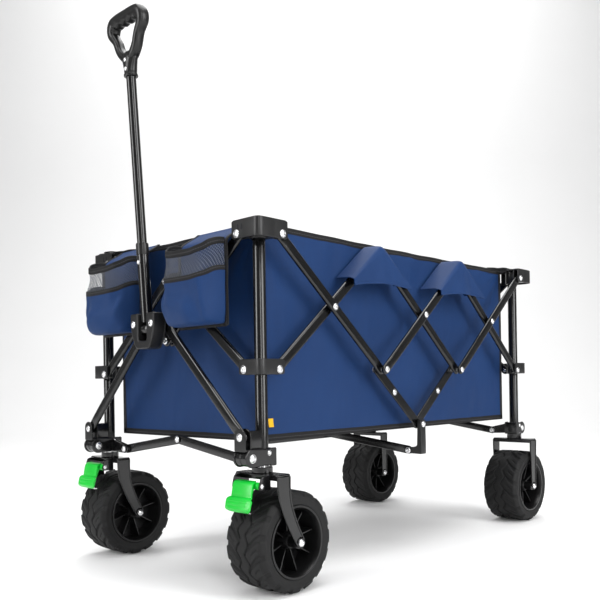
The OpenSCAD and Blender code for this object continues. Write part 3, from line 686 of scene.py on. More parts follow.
def fork(trail, stem):
    """Legs in (y, z): the centre line goes from the crown to the axle, trail behind it, and narrows on the way."""
    top = CROWN_TOP
    line = smooth([(0.000, top - 0.004, 0.0140), (0.0005, top - 0.028, 0.0135), (0.16 * trail, top - 0.056, 0.0120),
                   (0.55 * trail, AXLE_Z + 0.030, 0.0105), (trail, AXLE_Z, 0.0095)], 22)
    t = unit_vector(np.gradient(line[:, :2], axis=0))
    n = np.stack([-t[:, 1], t[:, 0]], 1)
    left, right = line[:, :2] + n * line[:, 2:], line[:, :2] - n * line[:, 2:]
    a0 = math.atan2(*(right[-1] - line[-1, :2])[::-1])
    a = a0 - np.linspace(0.2, math.pi - 0.2, 10)
    heel = line[-1, :2] + line[-1, 2] * np.stack([np.cos(a), np.sin(a)], 1)
    outline = np.concatenate([right, heel, left[::-1]])
    shells, x = [], LEG_X - 0.0045
    for s in (1, -1):
        leg = plate(outline, 0, 0.003, 0.001)
        shells.append(upright(leg, x if s > 0 else -x - 0.003))
        for edge in (left, right):
            path = np.column_stack([np.full(len(edge), s * (x + 0.0022)),
                                    edge - np.sign(edge - line[:, :2]) * 0.0004])
            shells.append(carried(path, oval(0.0032, 0.0046, 12), (1, 0, 0)))
        shells.append(bolt((s * (x + 0.003), trail, AXLE_Z), (s, 0, 0), 0.0066, 0.0046))
        shells.append(turned([(0.0085, 0), (0.0085, 0.0012), (0.0078, 0.0016)], 0, 24).at(
            (s * (x + 0.0026), trail, AXLE_Z), (0, 1, 0), (0, 0, 1), (s, 0, 0)))
    shells.append(rod((-x, trail, AXLE_Z), (x, trail, AXLE_Z), 0.0048, 1))
    shells.append(block((-x - 0.003, -0.0155, top - 0.0035), (x + 0.003, 0.0155, top), 0.004, 0.0016))
    lip = rounded([(-x - 0.003, top - 0.010), (x + 0.003, top - 0.010), (x + 0.003, top - 0.0005),
                   (-x - 0.003, top - 0.0005)], [0.002, 0.002, 0.005, 0.005])
    shells += [facing(plate(lip, 0, 0.003, 0.001), y) for y in (-0.0125, 0.0155)]
    if stem:
        shells.append(turned([(0.0165, top - 0.001), (0.018, top + 0.0008), (0.018, BLOCK_Z - 0.0012),
                              (0.0165, BLOCK_Z - 0.0003)], 0, 36))
        shells.append(turned([(0.0078, top - 0.006), (0.0078, BLOCK_Z + 0.022), (0.0070, BLOCK_Z + 0.0228)], 1, 24))
        shells.append(bolt((0, 0, top - 0.0036), (0, 0, -1), 0.010, 0.006))
    return shells


for s, sx in SIDES:
    shells = fork(TRAIL, True)
    pin = PIVOT[f"brake_{s}"] - [sx * POST_X, FRONT_Y, 0]
    for side in (1, -1):
        ear = rounded([(pin[1] - 0.0065, pin[2] - 0.007), (pin[1] + 0.020, pin[2] - 0.007),
                       (pin[1] + 0.020, CROWN_TOP - 0.001),
                       (pin[1] - 0.0005, CROWN_TOP - 0.002)], [0.006, 0.001, 0.001, 0.006])
        shells.append(upright(plate(ear, 0, 0.0035, 0.0008), side * 0.03275 - 0.00175))
        shells.append(bolt((side * 0.0345, pin[1], pin[2]), (side, 0, 0), 0.0032, 0.0018))
    shells.append(block((-0.0335, pin[1] + 0.014, CROWN_TOP - 0.0034), (0.0335, 0, CROWN_TOP - 0.0004), 0.002))
    piece(f"caster_fork_{s}", corner_places(shells, sx, 1), f"fork_{s}", HARD, [f"fork_{s}"])
for c in ("rr", "rl"):
    shells, hi = foot(False)
    shells += [post_tube(POST_TOP)] + fork(0.0, False)
    shells.append(turned([(0.0165, CROWN_TOP - 0.001), (0.018, CROWN_TOP + 0.001), (0.018, BLOCK_Z + 0.001),
                          (0.0165, BLOCK_Z + 0.002)], 0, 36))
    piece(f"upright_{c}", corner_places(shells, *CORNERS[c]), POSTS[c], HARD, [f"post_{c}"])
print("crown", round(CROWN_TOP, 4), "legs at", round(LEG_X, 4))

# %% [markdown]
# ## Wheels
# A tyre's tread is a height over two coordinates: the angle round the wheel, and the way across it from -1 to 1. The
# middle is a smooth band whose edge swings in and out, and curved blocks run from it to the shoulders, with grooves
# between them where a sawtooth in (angle + a curve of the way across) is low. The rim is a turned barrel with webs.

# %% Tyre and rim
TYRE_LO, TYRE_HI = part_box("tyre_fr")
HALF_W, WHEEL_R = (TYRE_HI.x - TYRE_LO.x) / 2, AXLE_Z
RIM_R = (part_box("rim_fr")[1].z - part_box("rim_fr")[0].z) / 2
PITCHES = 16


def ramp(x, lo, hi):
    """0 below lo, 1 above hi, and a smooth 3t2 - 2t3 between."""
    t = np.clip((x - lo) / (hi - lo), 0, 1)
    return t * t * (3 - 2 * t)


def tyre():
    """Rings along the section (u), points round the wheel (v). The crown's radius is lowered by the groove depth."""
    steps, across = 512, 62
    a = np.linspace(0, 2 * math.pi, steps, endpoint=False)
    w = np.linspace(-1, 1, across)
    x = w * HALF_W
    r = WHEEL_R - 0.0012 * w ** 2 - 0.0105 * np.maximum(0, (np.abs(w) - 0.80) / 0.20) ** 2.2
    W, A = np.meshgrid(w, a, indexing="ij")
    phase = PITCHES * A / (2 * math.pi)
    swing = 0.20 + 0.085 * np.cos(2 * math.pi * (phase + 0.15 * np.sign(W)))
    side = np.abs(W)
    curve = 0.85 * np.sin(np.clip(side - 0.15, 0, 1) * 1.9) + 0.25 * np.sign(W)
    saw = (phase + curve) % 1.0
    gap = 0.115 * (0.4 + 0.9 * side)
    groove = (1 - ramp(np.abs(saw - 0.5), gap, gap + 0.05)) * ramp(side, swing, swing + 0.05)
    between = 0.5 * ramp(side, 0.42, 0.48) * (1 - ramp(side, 0.74, 0.8))
    fine = (1 - ramp(np.abs(((phase + curve + 0.5) % 1.0) - 0.5), 0.03, 0.06)) * between
    edge = (1 - ramp(np.abs(side - swing - 0.015), 0.022, 0.045))
    cut = np.maximum(np.maximum(groove, edge), fine) * (1 - ramp(side, 0.93, 0.985))
    R = r[:, None] - 0.0030 * cut
    rings = np.stack([np.repeat(x[:, None], steps, 1), R * np.cos(A), R * np.sin(A)], -1)
    wall = np.array([(1.0, -0.0125), (1.004, -0.0165), (0.985, -0.0205), (0.99, -0.0225), (0.965, -0.0245),
                     (0.93, -0.0262)])
    def side_rings(s):
        wx, wr = s * wall[:, 0] * HALF_W * 0.992, WHEEL_R + wall[:, 1]
        return np.stack([np.repeat(wx[:, None], steps, 1), wr[:, None] * np.cos(a), wr[:, None] * np.sin(a)], -1)
    return tube(np.concatenate([side_rings(-1)[::-1], rings, side_rings(1)]), 0, True)


def rim():
    """A barrel with a lip each side, a hub with a spacer at each end, a thin dish, and eight flat webs."""
    lip = HALF_W - 0.001
    barrel = both_ends([(RIM_R, -lip + 0.004), (RIM_R + 0.0005, -lip), (RIM_R - 0.003, -lip - 0.0002),
                        (RIM_R - 0.0052, -lip + 0.004), (RIM_R - 0.0064, -lip + 0.012)])
    hub = both_ends([(0.0052, -0.030), (0.012, -0.030), (0.0135, -0.028), (0.0165, -0.006)])
    dish = both_ends([(0.015, -0.0015), (RIM_R - 0.004, -0.0015)])
    shells = [turned(barrel, 0, 96, True), turned(hub, 0, 40, True), turned(dish, 0, 72, True)]
    for s in (1, -1):
        near, far = s * 0.0300, s * (LEG_X - 0.0065)
        shells.append(turned([(0.0052, near), (0.0105, near), (0.0105, far), (0.0052, far)], 0, 28, True))
    for i in range(8):
        a = 2 * math.pi * (i + 0.3) / 8
        u, v = np.array([math.cos(a), math.sin(a), 0]), np.array([-math.sin(a), math.cos(a), 0])
        web = rounded([(0.013, -0.023), (RIM_R - 0.0055, -0.030), (RIM_R - 0.0055, 0.030), (0.013, 0.023)], 0.006)
        shells.append(plate(web, -0.0012, 0.0012, 0.0006).at((0, 0, 0), u, (0, 0, 1), v))
    return [s.at((0, 0, 0), (0, 1, 0), (0, 0, 1), (1, 0, 0)) for s in shells]


tread, rim_shells = tyre(), rim()
for w, (sx, sy) in CORNERS.items():
    hub = PIVOT[f"wheel_{w}_spin"]
    spun = [s.at(hub, (1, 0, 0), (0, sy, 0), (0, 0, 1)) for s in (tread, *rim_shells)]
    piece(f"tread_{w}", spun[:1], f"wheel_{w}", [RUBBER], [f"tyre_{w}"], 55)
    piece(f"wheel_rim_{w}", spun[1:], f"wheel_{w}", [RIM], [f"rim_{w}"])
print("a tyre has", len(tread.quads), "faces")

# %% [markdown]
# ## Brake pedals
# A pedal is a bent sheet: its side view is a smooth line, a step crosses it, and the lower lip flares out. It is a
# surface over the way down and the way across, given a thickness by moving it both ways along its normal. The stop
# under it is a bent zinc strip.

# %% Sheets with a thickness
def slab(P, thick, finish=0, flat=None):
    """A sheet P[i, j] becomes a closed skin: half the thickness each way along the normal dP/di x dP/dj, and a rim."""
    P = np.asarray(P, float)
    m, n = P.shape[:2]
    normal = unit_vector(np.cross(np.gradient(P, axis=0), np.gradient(P, axis=1)) + 1e-12)
    half = np.broadcast_to(np.asarray(thick, float), (m, n))[..., None] / 2
    points = np.concatenate([(P + normal * half).reshape(-1, 3), (P - normal * half).reshape(-1, 3)])
    near = grid_quads(m, n)
    i, j = np.arange(m), np.arange(n)
    ring = np.concatenate([i[:-1] * n, (m - 1) * n + j[:-1], i[:0:-1] * n + n - 1, j[:0:-1]])
    after, far = np.roll(ring, -1), m * n
    rim_quads = np.stack([after, ring, ring + far, after + far], 1)
    flat2 = None if flat is None else np.concatenate([flat.reshape(-1, 2)] * 2)
    return Shell(points, np.concatenate([near, near[:, ::-1] + far, rim_quads]), (), finish, True, flat2)


def pedal(pin_y, pin_z):
    """Down the pedal, y and z follow a smooth line; its half width grows from 22 mm to 29 mm at the lip."""
    bends = [(0.001, 0.0065), (-0.009, 0.004), (-0.013, -0.010), (-0.0145, -0.0185), (-0.0185, -0.0205),
             (-0.0215, -0.027), (-0.0235, -0.037), (-0.0205, -0.0415)]
    line = smooth(np.add(bends, (pin_y, pin_z)), 46)
    v = np.linspace(0, 1, 46)
    half = 0.0225 + 0.0015 * np.sin(v * 3) + 0.0062 * ramp(v, 0.50, 0.66)
    half = half - 0.007 * np.maximum(0, (v - 0.86) / 0.14) ** 2.2 - 0.003 * np.maximum(0, (0.08 - v) / 0.08) ** 2
    u = np.linspace(-1, 1, 25)
    crown = -0.0022 * (1 - u ** 2)
    grip = 0.0006 * (np.sin(v * 70) > 0.2) * (v > 0.66) * (v < 0.9)
    P = np.stack([half[:, None] * u, line[:, :1] + crown[None] - grip[:, None] * (np.abs(u) < 0.8),
                  np.repeat(line[:, 1:], 25, 1)], -1)
    return slab(P, 0.0034)


for s, sx in SIDES:
    y, z = PIVOT[f"brake_{s}"][1] - FRONT_Y, PIVOT[f"brake_{s}"][2]
    shells = [pedal(y, z), rod((-0.0300, y, z), (0.0300, y, z), 0.0062, 0),
              rod((-0.0340, y, z), (0.0340, y, z), 0.0029, 1)]
    web = rounded(np.add([(-0.001, 0.003), (-0.011, -0.004), (-0.015, -0.02), (-0.021, -0.034), (-0.012, -0.022),
                          (-0.003, -0.004)], (y, z)), 0.002)
    shells += [upright(plate(web, 0, 0.0025, 0.0006), x - 0.00125) for x in (-0.018, 0.018)]
    stop = smooth(np.add([(-0.006, -0.004), (-0.0125, -0.024), (-0.0160, -0.0395), (-0.0150, -0.0440),
                          (-0.0095, -0.0445)], (y, z)), 24)
    x = np.linspace(-0.0170, 0.0170, 7)
    shells.append(slab(np.stack([np.repeat(x[None], 24, 0), np.repeat(stop[:, :1], 7, 1),
                                 np.repeat(stop[:, 1:], 7, 1)], -1), 0.0018, 1))
    piece(f"pedal_{s}", corner_places(shells, sx, 1), f"brake_pedal_{s}", [GREEN, ZINC], [f"brake_pedal_{s}"],
          30)
print("pedal pins at", np.round(PIVOT["brake_r"], 3))

# %% [markdown]
# ## Crossed bars
# Every bar is an oval tube whose ends are pressed flatter and cut round. At a distance s beyond an end pivot the width
# is 2 sqrt(r2 - s2), so the end is a half circle, and the thickness falls to seven tenths over the last 30 mm.

# %% Bars and rivets
def bar(a, b, out, width=ARM_W, thick=ARM_T, finish=0):
    """An oval section carried from pivot a to pivot b; out is the direction that the flat sides face."""
    a, b, out = (np.asarray(v, float) for v in (a, b, out))
    d = unit_vector(b - a)
    length, r = np.linalg.norm(b - a), width / 2
    tip = -r * np.cos(np.radians([9, 22, 38, 55, 72, 90]))
    near = np.concatenate([tip, [0.5 * r, r, 1.6 * r, 2.2 * r, 3 * r]])
    s = np.concatenate([near, np.linspace(4 * r, length - 4 * r, 5), length - near[::-1]])
    past = np.maximum(0, np.maximum(-s, s - length))
    inside = np.clip(np.minimum(s, length - s), 0, None)
    w = 2 * np.sqrt(np.maximum(r * r - past ** 2, 1e-10))
    t = thick * (0.70 + 0.30 * ramp(inside, r, 3 * r)) * (0.5 + 0.5 * np.sqrt(w / width))
    section = np.stack([oval(wi, ti, 28) for wi, ti in zip(w, t)])
    return carried(a + s[:, None] * d, section, out, finish)


def rivet(at, out, lo, hi, showing=True):
    """A pin through bars, from lo to hi along out, with a domed head on each end."""
    at, out = np.asarray(at, float), np.asarray(out, float)
    tall = 0.0032 if showing else 0.0020
    return [rod(at + out * lo, at + out * hi, PIN_R, 1, 14), bolt(at + out * hi, out, 0.0058, tall),
            bolt(at + out * lo, -out, 0.0056, 0.0020)]


def add_bar(name, a, b, out, pins=()):
    """A bar with its rivets; a pin is (place along the bar, lowest plane, highest plane, whether it is outermost)."""
    shells, d = [bar(a, b, out)], unit_vector(np.subtract(b, a))
    reach = ARM_T / 2 * 0.86 + ARM_GAP
    for place, lo, hi, outermost in pins:
        shells += rivet(np.asarray(a) + d * place, out, lo * PITCH - reach, hi * PITCH + reach, outermost)
    return piece(f"bar_{name}", shells, name, HARD, [name])


SIDE_LEN = math.hypot(UNIT, TOP_Z - LOW_Z)
DOWN_PINS = [[(SIDE_LEN / 2, -1, 0, True), (SIDE_LEN, -1, 1, True)],
             [(0, -1, 0, False), (SIDE_LEN / 2, 0, 1, True), (SIDE_LEN, -1, 1, True)],
             [(0, 0, 1, True), (SIDE_LEN / 2, 0, 1, True)]]
for s, sx in SIDES:
    out = (sx, 0, 0)
    for i in range(3):
        y0, y1 = SIDE_Y0 + i * UNIT, SIDE_Y0 + (i + 1) * UNIT
        x, x_up = sx * (POST_X + SIDE_PLANE[1]), sx * (POST_X + SIDE_PLANE[0 if i == 0 else 2])
        add_bar(f"side_down_arm_{s}{i + 1}", (x, y0, TOP_Z), (x, y1, LOW_Z), out, DOWN_PINS[i])
        add_bar(f"side_up_arm_{s}{i + 1}", (x_up, y0, LOW_Z), (x_up, y1, TOP_Z), out)

FACE_LEN = math.hypot(FACE_RUN, FACE_RUN * (TOP_Z - LOW_Z) / UNIT)
FACE_LOW, FACE_HIGH = TOP_Z - math.sqrt(FACE_LEN ** 2 - FACE_RUN ** 2), LOW_Z + math.sqrt(FACE_LEN ** 2 - FACE_RUN ** 2)
for e, y_post, sy in (("f", FRONT_Y, -1), ("r", REAR_Y, 1)):
    y1, y2 = y_post + sy * SIDE_PLANE[0], y_post + sy * SIDE_PLANE[1]
    out, h = (0, sy, 0), SIDE_LEN / 2
    add_bar(f"face_down_arm_{e}r", (FACE_RUN, y2, TOP_Z), (0, y2, FACE_LOW), out,
            [(h, -1, 0, True), (FACE_LEN, -1, 0, True)])
    add_bar(f"face_down_arm_{e}l", (-FACE_RUN, y1, TOP_Z), (0, y1, FACE_LOW), out, [(h, 0, 1, True)])
    add_bar(f"face_up_arm_{e}r", (FACE_RUN, y1, LOW_Z), (0, y1, FACE_HIGH), out)
    add_bar(f"face_up_arm_{e}l", (-FACE_RUN, y2, LOW_Z), (0, y2, FACE_HIGH), out, [(FACE_LEN, -1, 0, True)])
print("side bars", round(SIDE_LEN, 4), "end bars", round(FACE_LEN, 4), "tops", round(FACE_HIGH, 3))

# %% [markdown]
# Under the middle of each side two short links meet on a moulded bracket, whose foot carries the bar under the floor.
# The links are flat strips side by side, and the bracket is an L drawn in the end view and made 18.6 mm deep.

# %% Lower links and centre brackets
for s, sx in SIDES:
    centre = PIVOT[f"pivot_centre_bracket_{s}"]
    x = sx * (POST_X + SIDE_PLANE[0])
    for i, y in ((1, SIDE_Y0 + UNIT), (2, SIDE_Y0 + 2 * UNIT)):
        lift = sx * (1 if i == 1 else -1) * 0.00225
        a, b = np.array([x + lift, y, LOW_Z]), np.array([x + lift, centre[1], centre[2]])
        d = unit_vector(b - a)
        arcs = [(c, np.radians(np.linspace(start, start + 180, 15))) for c,
                start in ((np.linalg.norm(b - a), -90), (0, 90))]
        strip = np.concatenate([0.01 * np.stack([np.cos(t), np.sin(t)], 1) + [c, 0] for c, t in arcs])
        link = plate(strip, -0.0019, 0.0019, 0.0012).at(a, d, np.cross((sx, 0, 0), d), (sx, 0, 0))
        head = bolt(a + 0.40 * (b - a) + np.array([sx * 0.0019, 0, 0]), (sx, 0, 0), 0.0056, 0.003)
        piece(f"link_{s}{i}", [link, head], f"lower_link_{s}{i}", HARD, [f"lower_link_{s}{i}"])
    lo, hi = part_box(f"centre_bracket_{s}")
    ox, ix = SIDE_PLANE[1] + ARM_T / 2 + POST_X, min(abs(lo.x), abs(hi.x))
    el = rounded([(ox - 0.0095, centre[2] + 0.0095), (ox - 0.0115, lo.z + 0.017), (ox - 0.026, lo.z + 0.0135),
                  (ix, lo.z + 0.0125), (ix + 0.001, lo.z + 0.0005), (ox, lo.z), (ox + 0.0003, lo.z + 0.02),
                  (ox - 0.0005, centre[2] + 0.0095)], [0.003, 0.004, 0.004, 0.004, 0.002, 0.002, 0.004, 0.003])
    body = plate(el, -0.0093, 0.0093, 0.0016).at((0, centre[1], 0), (sx, 0, 0), (0, 0, 1), (0, 1, 0))
    shells = [body] + rivet(centre, (sx, 0, 0), -PITCH - 0.0027, ARM_T / 2)
    shells += [bolt((sx * (ix + 0.012), centre[1] + q * 0.0093, lo.z + 0.0065), (0, q, 0), 0.0056, 0.0028)
               for q in (-1, 1)]
    piece(f"middle_bracket_{s}", shells, f"centre_bracket_{s}", [FITTING, ZINC], [f"centre_bracket_{s}"])
print("middle bracket foot at z", round(lo.z, 3))

# %% [markdown]
# ## Handle frame
# Two struts rise from the front feet to a moulded bracket. The handle's lower tube sits in the bracket's slot and
# swings forwards on a pin. The bracket is two plates: a whole one at the back, and a U in front that leaves the slot.

# %% Struts, bracket and tubes
HEAD_X, _, HEAD_Z = PIVOT["pivot_handle_bracket"]
for s, sx in SIDES:
    a, b = (sx * POST_X, STRUT[1], STRUT[2]), (sx * HEAD_X, STRUT[1], HEAD_Z)
    add_bar(f"handle_strut_{s}", a, b, (0, -1, 0))

lo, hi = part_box("handle_bracket")
half, back, front_y = (hi.x - lo.x) / 2, STRUT[1] - ARM_T / 2 - ARM_GAP, lo.y
swing = PIVOT["handle_pitch"]
outline = [(-half, hi.z), (-half, hi.z - 0.030), (-0.0215, lo.z), (0.0215, lo.z), (half, hi.z - 0.030),
           (half, hi.z)]
slot_line = [(0.0132, hi.z), (0.0132, swing[2] - 0.022), (-0.0132, swing[2] - 0.022), (-0.0132, hi.z)]
turns = [0.004, 0.014, 0.010, 0.010, 0.014, 0.004]
outer = rounded(outline, turns, 7)
u_shape = rounded(outline + slot_line, turns + [0.003, 0.006, 0.006, 0.003], 7)
shells = [facing(plate(outer, 0, 0.0030, 0.0010), back),
          facing(plate(u_shape, 0.0025, back - front_y, 0.0022), back)]
for s in (1, -1):
    shells.append(bolt((s * HEAD_X, front_y, HEAD_Z), (0, -1, 0), 0.0058, 0.003))
    shells.append(rod((s * HEAD_X, back + 0.011, HEAD_Z), (s * HEAD_X, back - 0.002, HEAD_Z), PIN_R, 1))
    shells.append(bolt((s * HEAD_X, back + 0.0102, HEAD_Z), (0, 1, 0), 0.0058, 0.002))
shells.append(rod((-0.016, swing[1], swing[2]), (0.016, swing[1], swing[2]), PIN_R, 1))
piece("handle_yoke", shells, "handle_bracket", [FITTING, ZINC], ["handle_bracket"])

DRAW = AXIS["handle_extend"]
LEAN_Y = np.cross(DRAW, (1, 0, 0))
OUTER = (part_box("handle_lower_tube")[1].z - swing[2]) / DRAW[2] - 0.0005
GRIP_AT = (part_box("handle_grip")[0].z - swing[2]) / DRAW[2] + 0.0004


def on_handle(shells, t=0.0):
    """Shells drawn with z up the handle and y across it, moved to a distance t from the handle's pivot."""
    return [s.at(swing + DRAW * t, (1, 0, 0), LEAN_Y, DRAW) for s in shells]


tube_shell = turned([(0.0092, 0.013), (0.0110, 0.013), (0.0110, OUTER - 0.0012), (0.0106, OUTER), (0.0092, OUTER)],
                    0, 40, True)
knuckle = turned(both_ends([(0.0041, -0.0118), (0.0098, -0.0118), (0.0108, -0.0105)]), 0, 36, True)
sleeve = turned([(0.0110, OUTER - 0.020), (0.0118, OUTER - 0.0195), (0.0118, OUTER - 0.001),
                 (0.0112, OUTER + 0.0012), (0.0094, OUTER + 0.0014), (0.0094, OUTER - 0.018)], 2, 40, True)
button = [bolt((0, -0.0108, OUTER - 0.034), (0, -1, 0), 0.0036, 0.0026)]
knuckle = knuckle.at((0, 0, 0), (0, 1, 0), (0, 0, 1), (1, 0, 0))
piece("handle_tube_lower", on_handle([tube_shell, knuckle, sleeve, *button]), "handle_lower_tube",
      [STEEL, ZINC, GRIP],
      ["handle_lower_tube"])
inner = turned([(0.0076, OUTER - 0.039), (0.0090, OUTER - 0.039), (0.0090, GRIP_AT + 0.024),
                (0.0076, GRIP_AT + 0.024)], 0, 40, True)
piece("handle_tube_upper", on_handle([inner]), "handle_upper", [STEEL], ["handle_upper_tube"])
print("lower tube", round(OUTER, 3), "grip starts at", round(GRIP_AT, 3))

# %% [markdown]
# The grip is a closed loop: a smooth line through fourteen points, round which an oval section is carried. The top bar
# has four finger waves on its underside, made by pushing in only the points that face the opening. The neck under it
# is an oval that narrows from the loop to a collar on the tube, with two screws in its front.

# %% Grip
def grip(w, h):
    """The loop's own plane is x, z; sections are 20 mm deep at the cheeks and 25 mm at the top bar."""
    x, top = w / 2 - 0.0115, h - 0.0125
    right = [(0.012, 0.0375), (0.0245, 0.051), (0.0330, 0.070), (x, 0.088), (x - 0.004, top - 0.004),
             (x - 0.018, top + 0.0005)]
    loop = np.array([(0, 0.0335)] + right + [(0, top + 0.0008)] + [(-a, b) for a, b in right[::-1]])
    n = 132
    line = smooth(np.concatenate([loop[-1:], loop, loop[:2]]), n * 3)
    gone = np.concatenate([[0], np.cumsum(np.linalg.norm(np.diff(line, axis=0), axis=1))])
    start = np.argmin(np.linalg.norm(line[: n] - loop[0], axis=1))
    end = n * 2 + np.argmin(np.linalg.norm(line[n * 2:] - loop[0], axis=1))
    s = np.linspace(gone[start], gone[end], n, endpoint=False)
    path = np.stack([np.interp(s, gone, line[:, 0]), np.interp(s, gone, line[:, 1])], 1)
    up = ramp(path[:, 1], 0.07, top - 0.004)
    bottom = 1 - ramp(path[:, 1], 0.034, 0.056)
    across, deep = 0.0150 + 0.0075 * up + 0.002 * bottom, 0.0205 + 0.0045 * up
    a = np.linspace(0, 2 * math.pi, 28, endpoint=False)
    c, d = np.cos(a), np.sin(a)
    section = np.stack([across[:, None] / 2 * np.sign(c) * np.abs(c) ** 0.8,
                        deep[:, None] / 2 * np.sign(d) * np.abs(d) ** 0.8], -1)
    path3 = np.column_stack([path[:, 0], np.zeros(n), path[:, 1]])
    made = carried(path3, section, (0, 1, 0), 0, True)
    P = made.points.reshape(n, 28, 3)
    inward = unit_vector(np.array([0, 0, 0.066]) - path3)
    facing_in = np.clip(np.einsum("ijk,ik->ij", unit_vector(P - path3[:, None]), inward), 0, 1)
    on_bar = ramp(path[:, 1], top - 0.010, top - 0.003)
    wave = 0.5 + 0.5 * np.cos(path[:, 0] / (w - 0.036) * 4 * 2 * math.pi + math.pi)
    P += (0.0042 * (wave * on_bar)[:, None] * facing_in ** 1.5)[..., None] * inward[:, None]
    made.points = P.reshape(-1, 3)
    return made


GRIP_LO, GRIP_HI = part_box("handle_grip")
GRIP_W, GRIP_H = GRIP_HI.x - GRIP_LO.x, (GRIP_HI.z - GRIP_LO.z) / DRAW[2] - 0.0012
z = np.array([0.0004, 0.001, 0.004, 0.0055, 0.012, 0.020, 0.028, 0.035, 0.041, 0.045])
wide = np.array([0.0122, 0.0130, 0.0130, 0.0118, 0.0125, 0.0145, 0.0175, 0.0205, 0.0190, 0.0120])
thick = np.array([0.0122, 0.0130, 0.0130, 0.0116, 0.0118, 0.0118, 0.0114, 0.0108, 0.0098, 0.0070])
a = np.linspace(0, 2 * math.pi, 32, endpoint=False)
neck = tube(np.stack([wide[:, None] * np.cos(a), thick[:, None] * np.sin(a), np.repeat(z[:, None], 32, 1)], -1))
screws = [bolt((0, -0.0114, t), (0, -1, 0), 0.0034, 0.0016) for t in (0.013, 0.029)]
piece("d_grip", on_handle([grip(GRIP_W, GRIP_H), neck, *screws], GRIP_AT), "handle_upper", [GRIP, ZINC],
      ["handle_grip"], 50)
print("grip", round(GRIP_W, 3), "wide", round(GRIP_H, 3), "tall")

# %% [markdown]
# ## Cloth of the tub
# The tub is four walls of woven cloth and a stiff floor, sewn together and bound with black tape, and it hangs from
# its rim. Cloth that is held along its edges bows out a little in the middle, shows long soft waves between the seams,
# and has drag lines that fan out from the corners that carry it. Each of these is one term added to a flat wall.
# A cloth simulation could make such a wall too; a formula is used because it is quick and exact each time.

# %% Waves, belly and drag lines
def waves(u, v, seed, size, depth, count=9):
    """Sum of plane waves of about this size in metres over sqrt count; each has its own direction, length and start."""
    rng = np.random.default_rng(seed)
    way, start = rng.uniform(0, 2 * math.pi, (2, count))
    length = size * rng.uniform(0.6, 1.7, count)
    turn = 2 * math.pi * (u[..., None] * np.cos(way) + v[..., None] * np.sin(way)) / length + start
    return depth * np.sin(turn).sum(-1) / math.sqrt(count)


def hung(u, v, length, height, seed, belly=0.0045):
    """How far a wall stands out at (u, v): belly sin sin, waves that die at the edges, and creases along the lines
    that leave the upper corners, sin(16 angle) exp(-r / 110 mm), and the first lower one."""
    hold = ramp(np.minimum(u, length - u), 0, 0.05) * ramp(np.minimum(v, height - v), 0, 0.035)
    out = belly * np.sin(math.pi * u / length) ** 0.7 * np.sin(math.pi * v / height)
    out = out + hold * (waves(u, v, seed, 0.16, 0.0011) + waves(u, v * 0.35, seed + 1, 0.055, 0.0006))
    for corner, angle_seed in ((0.0, 0.3), (length, 1.1)):
        r, angle = np.hypot(u - corner, v - height), np.arctan2(height - v, np.abs(u - corner))
        out = out + hold * 0.0016 * np.sin(16 * angle + angle_seed) * np.exp(-r / 0.11)
    r, angle = np.hypot(u, v), np.arctan2(v, u)
    return out + hold * 0.0009 * np.sin(13 * angle) * np.exp(-r / 0.09)


TUB_X, TUB_Y = TUB_HI[0] - 0.0022, (TUB_HI[1] - TUB_LO[1]) / 2 - 0.0022
TUB_Z0, TUB_Z1 = TUB_LO[2], TUB_HI[2] + 0.009
TUB_H, BAND, BAND_T = TUB_Z1 - TUB_Z0, 0.0125, 0.0034
print("tub", round(2 * TUB_X, 3), "x", round(2 * TUB_Y, 3), "x", round(TUB_H, 3), "m")

# %% [markdown]
# Tape is the same flat strip everywhere: a thin oval carried along a seam, with its flat coordinates along the seam
# and across it, so that the ribs and the row of stitches of its finish follow every turn.

# %% Binding tape
def taped(path, up, width=BAND, thick=BAND_T, finish=1):
    """A tape along a path, its width lying towards up; u is the length along the path, v the place across."""
    path = np.asarray(path, float)
    section = oval(thick, width, 20)
    s = carried(path, section, up, finish)
    along_it = np.concatenate([[0], np.cumsum(np.linalg.norm(np.diff(path, axis=0), axis=1))])
    s.flat = np.stack(np.meshgrid(along_it, section[:, 1] + width / 2, indexing="ij"), -1).reshape(-1, 2)
    return s


def soft_piece(name, shells, body, replaces=()):
    return piece(name, shells, body, CLOTH, replaces, 60)


def rim_dip(u, length):
    """The rim sags 2 mm between the corners that hold it, and ripples by half a millimetre."""
    return -0.002 * np.sin(math.pi * u / length) ** 1.5 - 0.0005 * np.sin(u * 55) * np.sin(math.pi * u / length)


def wall(length, seed, place):
    """A wall of cloth and its tapes; place(u, out, z) puts a point of the wall into the wagon."""
    u, v = np.meshgrid(np.linspace(0, length, 201), np.linspace(0, 1, 91), indexing="ij")
    z = TUB_Z0 + 0.003 + v * (TUB_H - 0.005 + rim_dip(u, length))
    cloth = slab(place(u, hung(u, v * TUB_H, length, TUB_H, seed), z), 0.0022, 0, np.stack([u, v * TUB_H], -1))
    e = np.linspace(0, length, 90)
    rim = place(e, 0 * e, TUB_Z1 - BAND / 2 + rim_dip(e, length))
    foot = place(e, 0 * e, TUB_Z0 + BAND / 2 + 0 * e)
    h = np.linspace(TUB_Z0 + 0.004, TUB_Z1 - BAND, 60)
    tapes = [taped(rim, (0, 0, 1)), taped(foot, (0, 0, 1))]
    none = np.zeros(1)
    across = unit_vector(place(none + 1, none, none) - place(none, none, none))[0]
    for at in (BAND / 2 - 0.001, length - BAND / 2 + 0.001):
        tapes.append(taped(place(at + 0 * h, 0 * h, h), across))
    return [cloth], tapes


print("rim dips", round(float(-rim_dip(0.43, 0.86)) * 1000, 1), "mm at its middle")
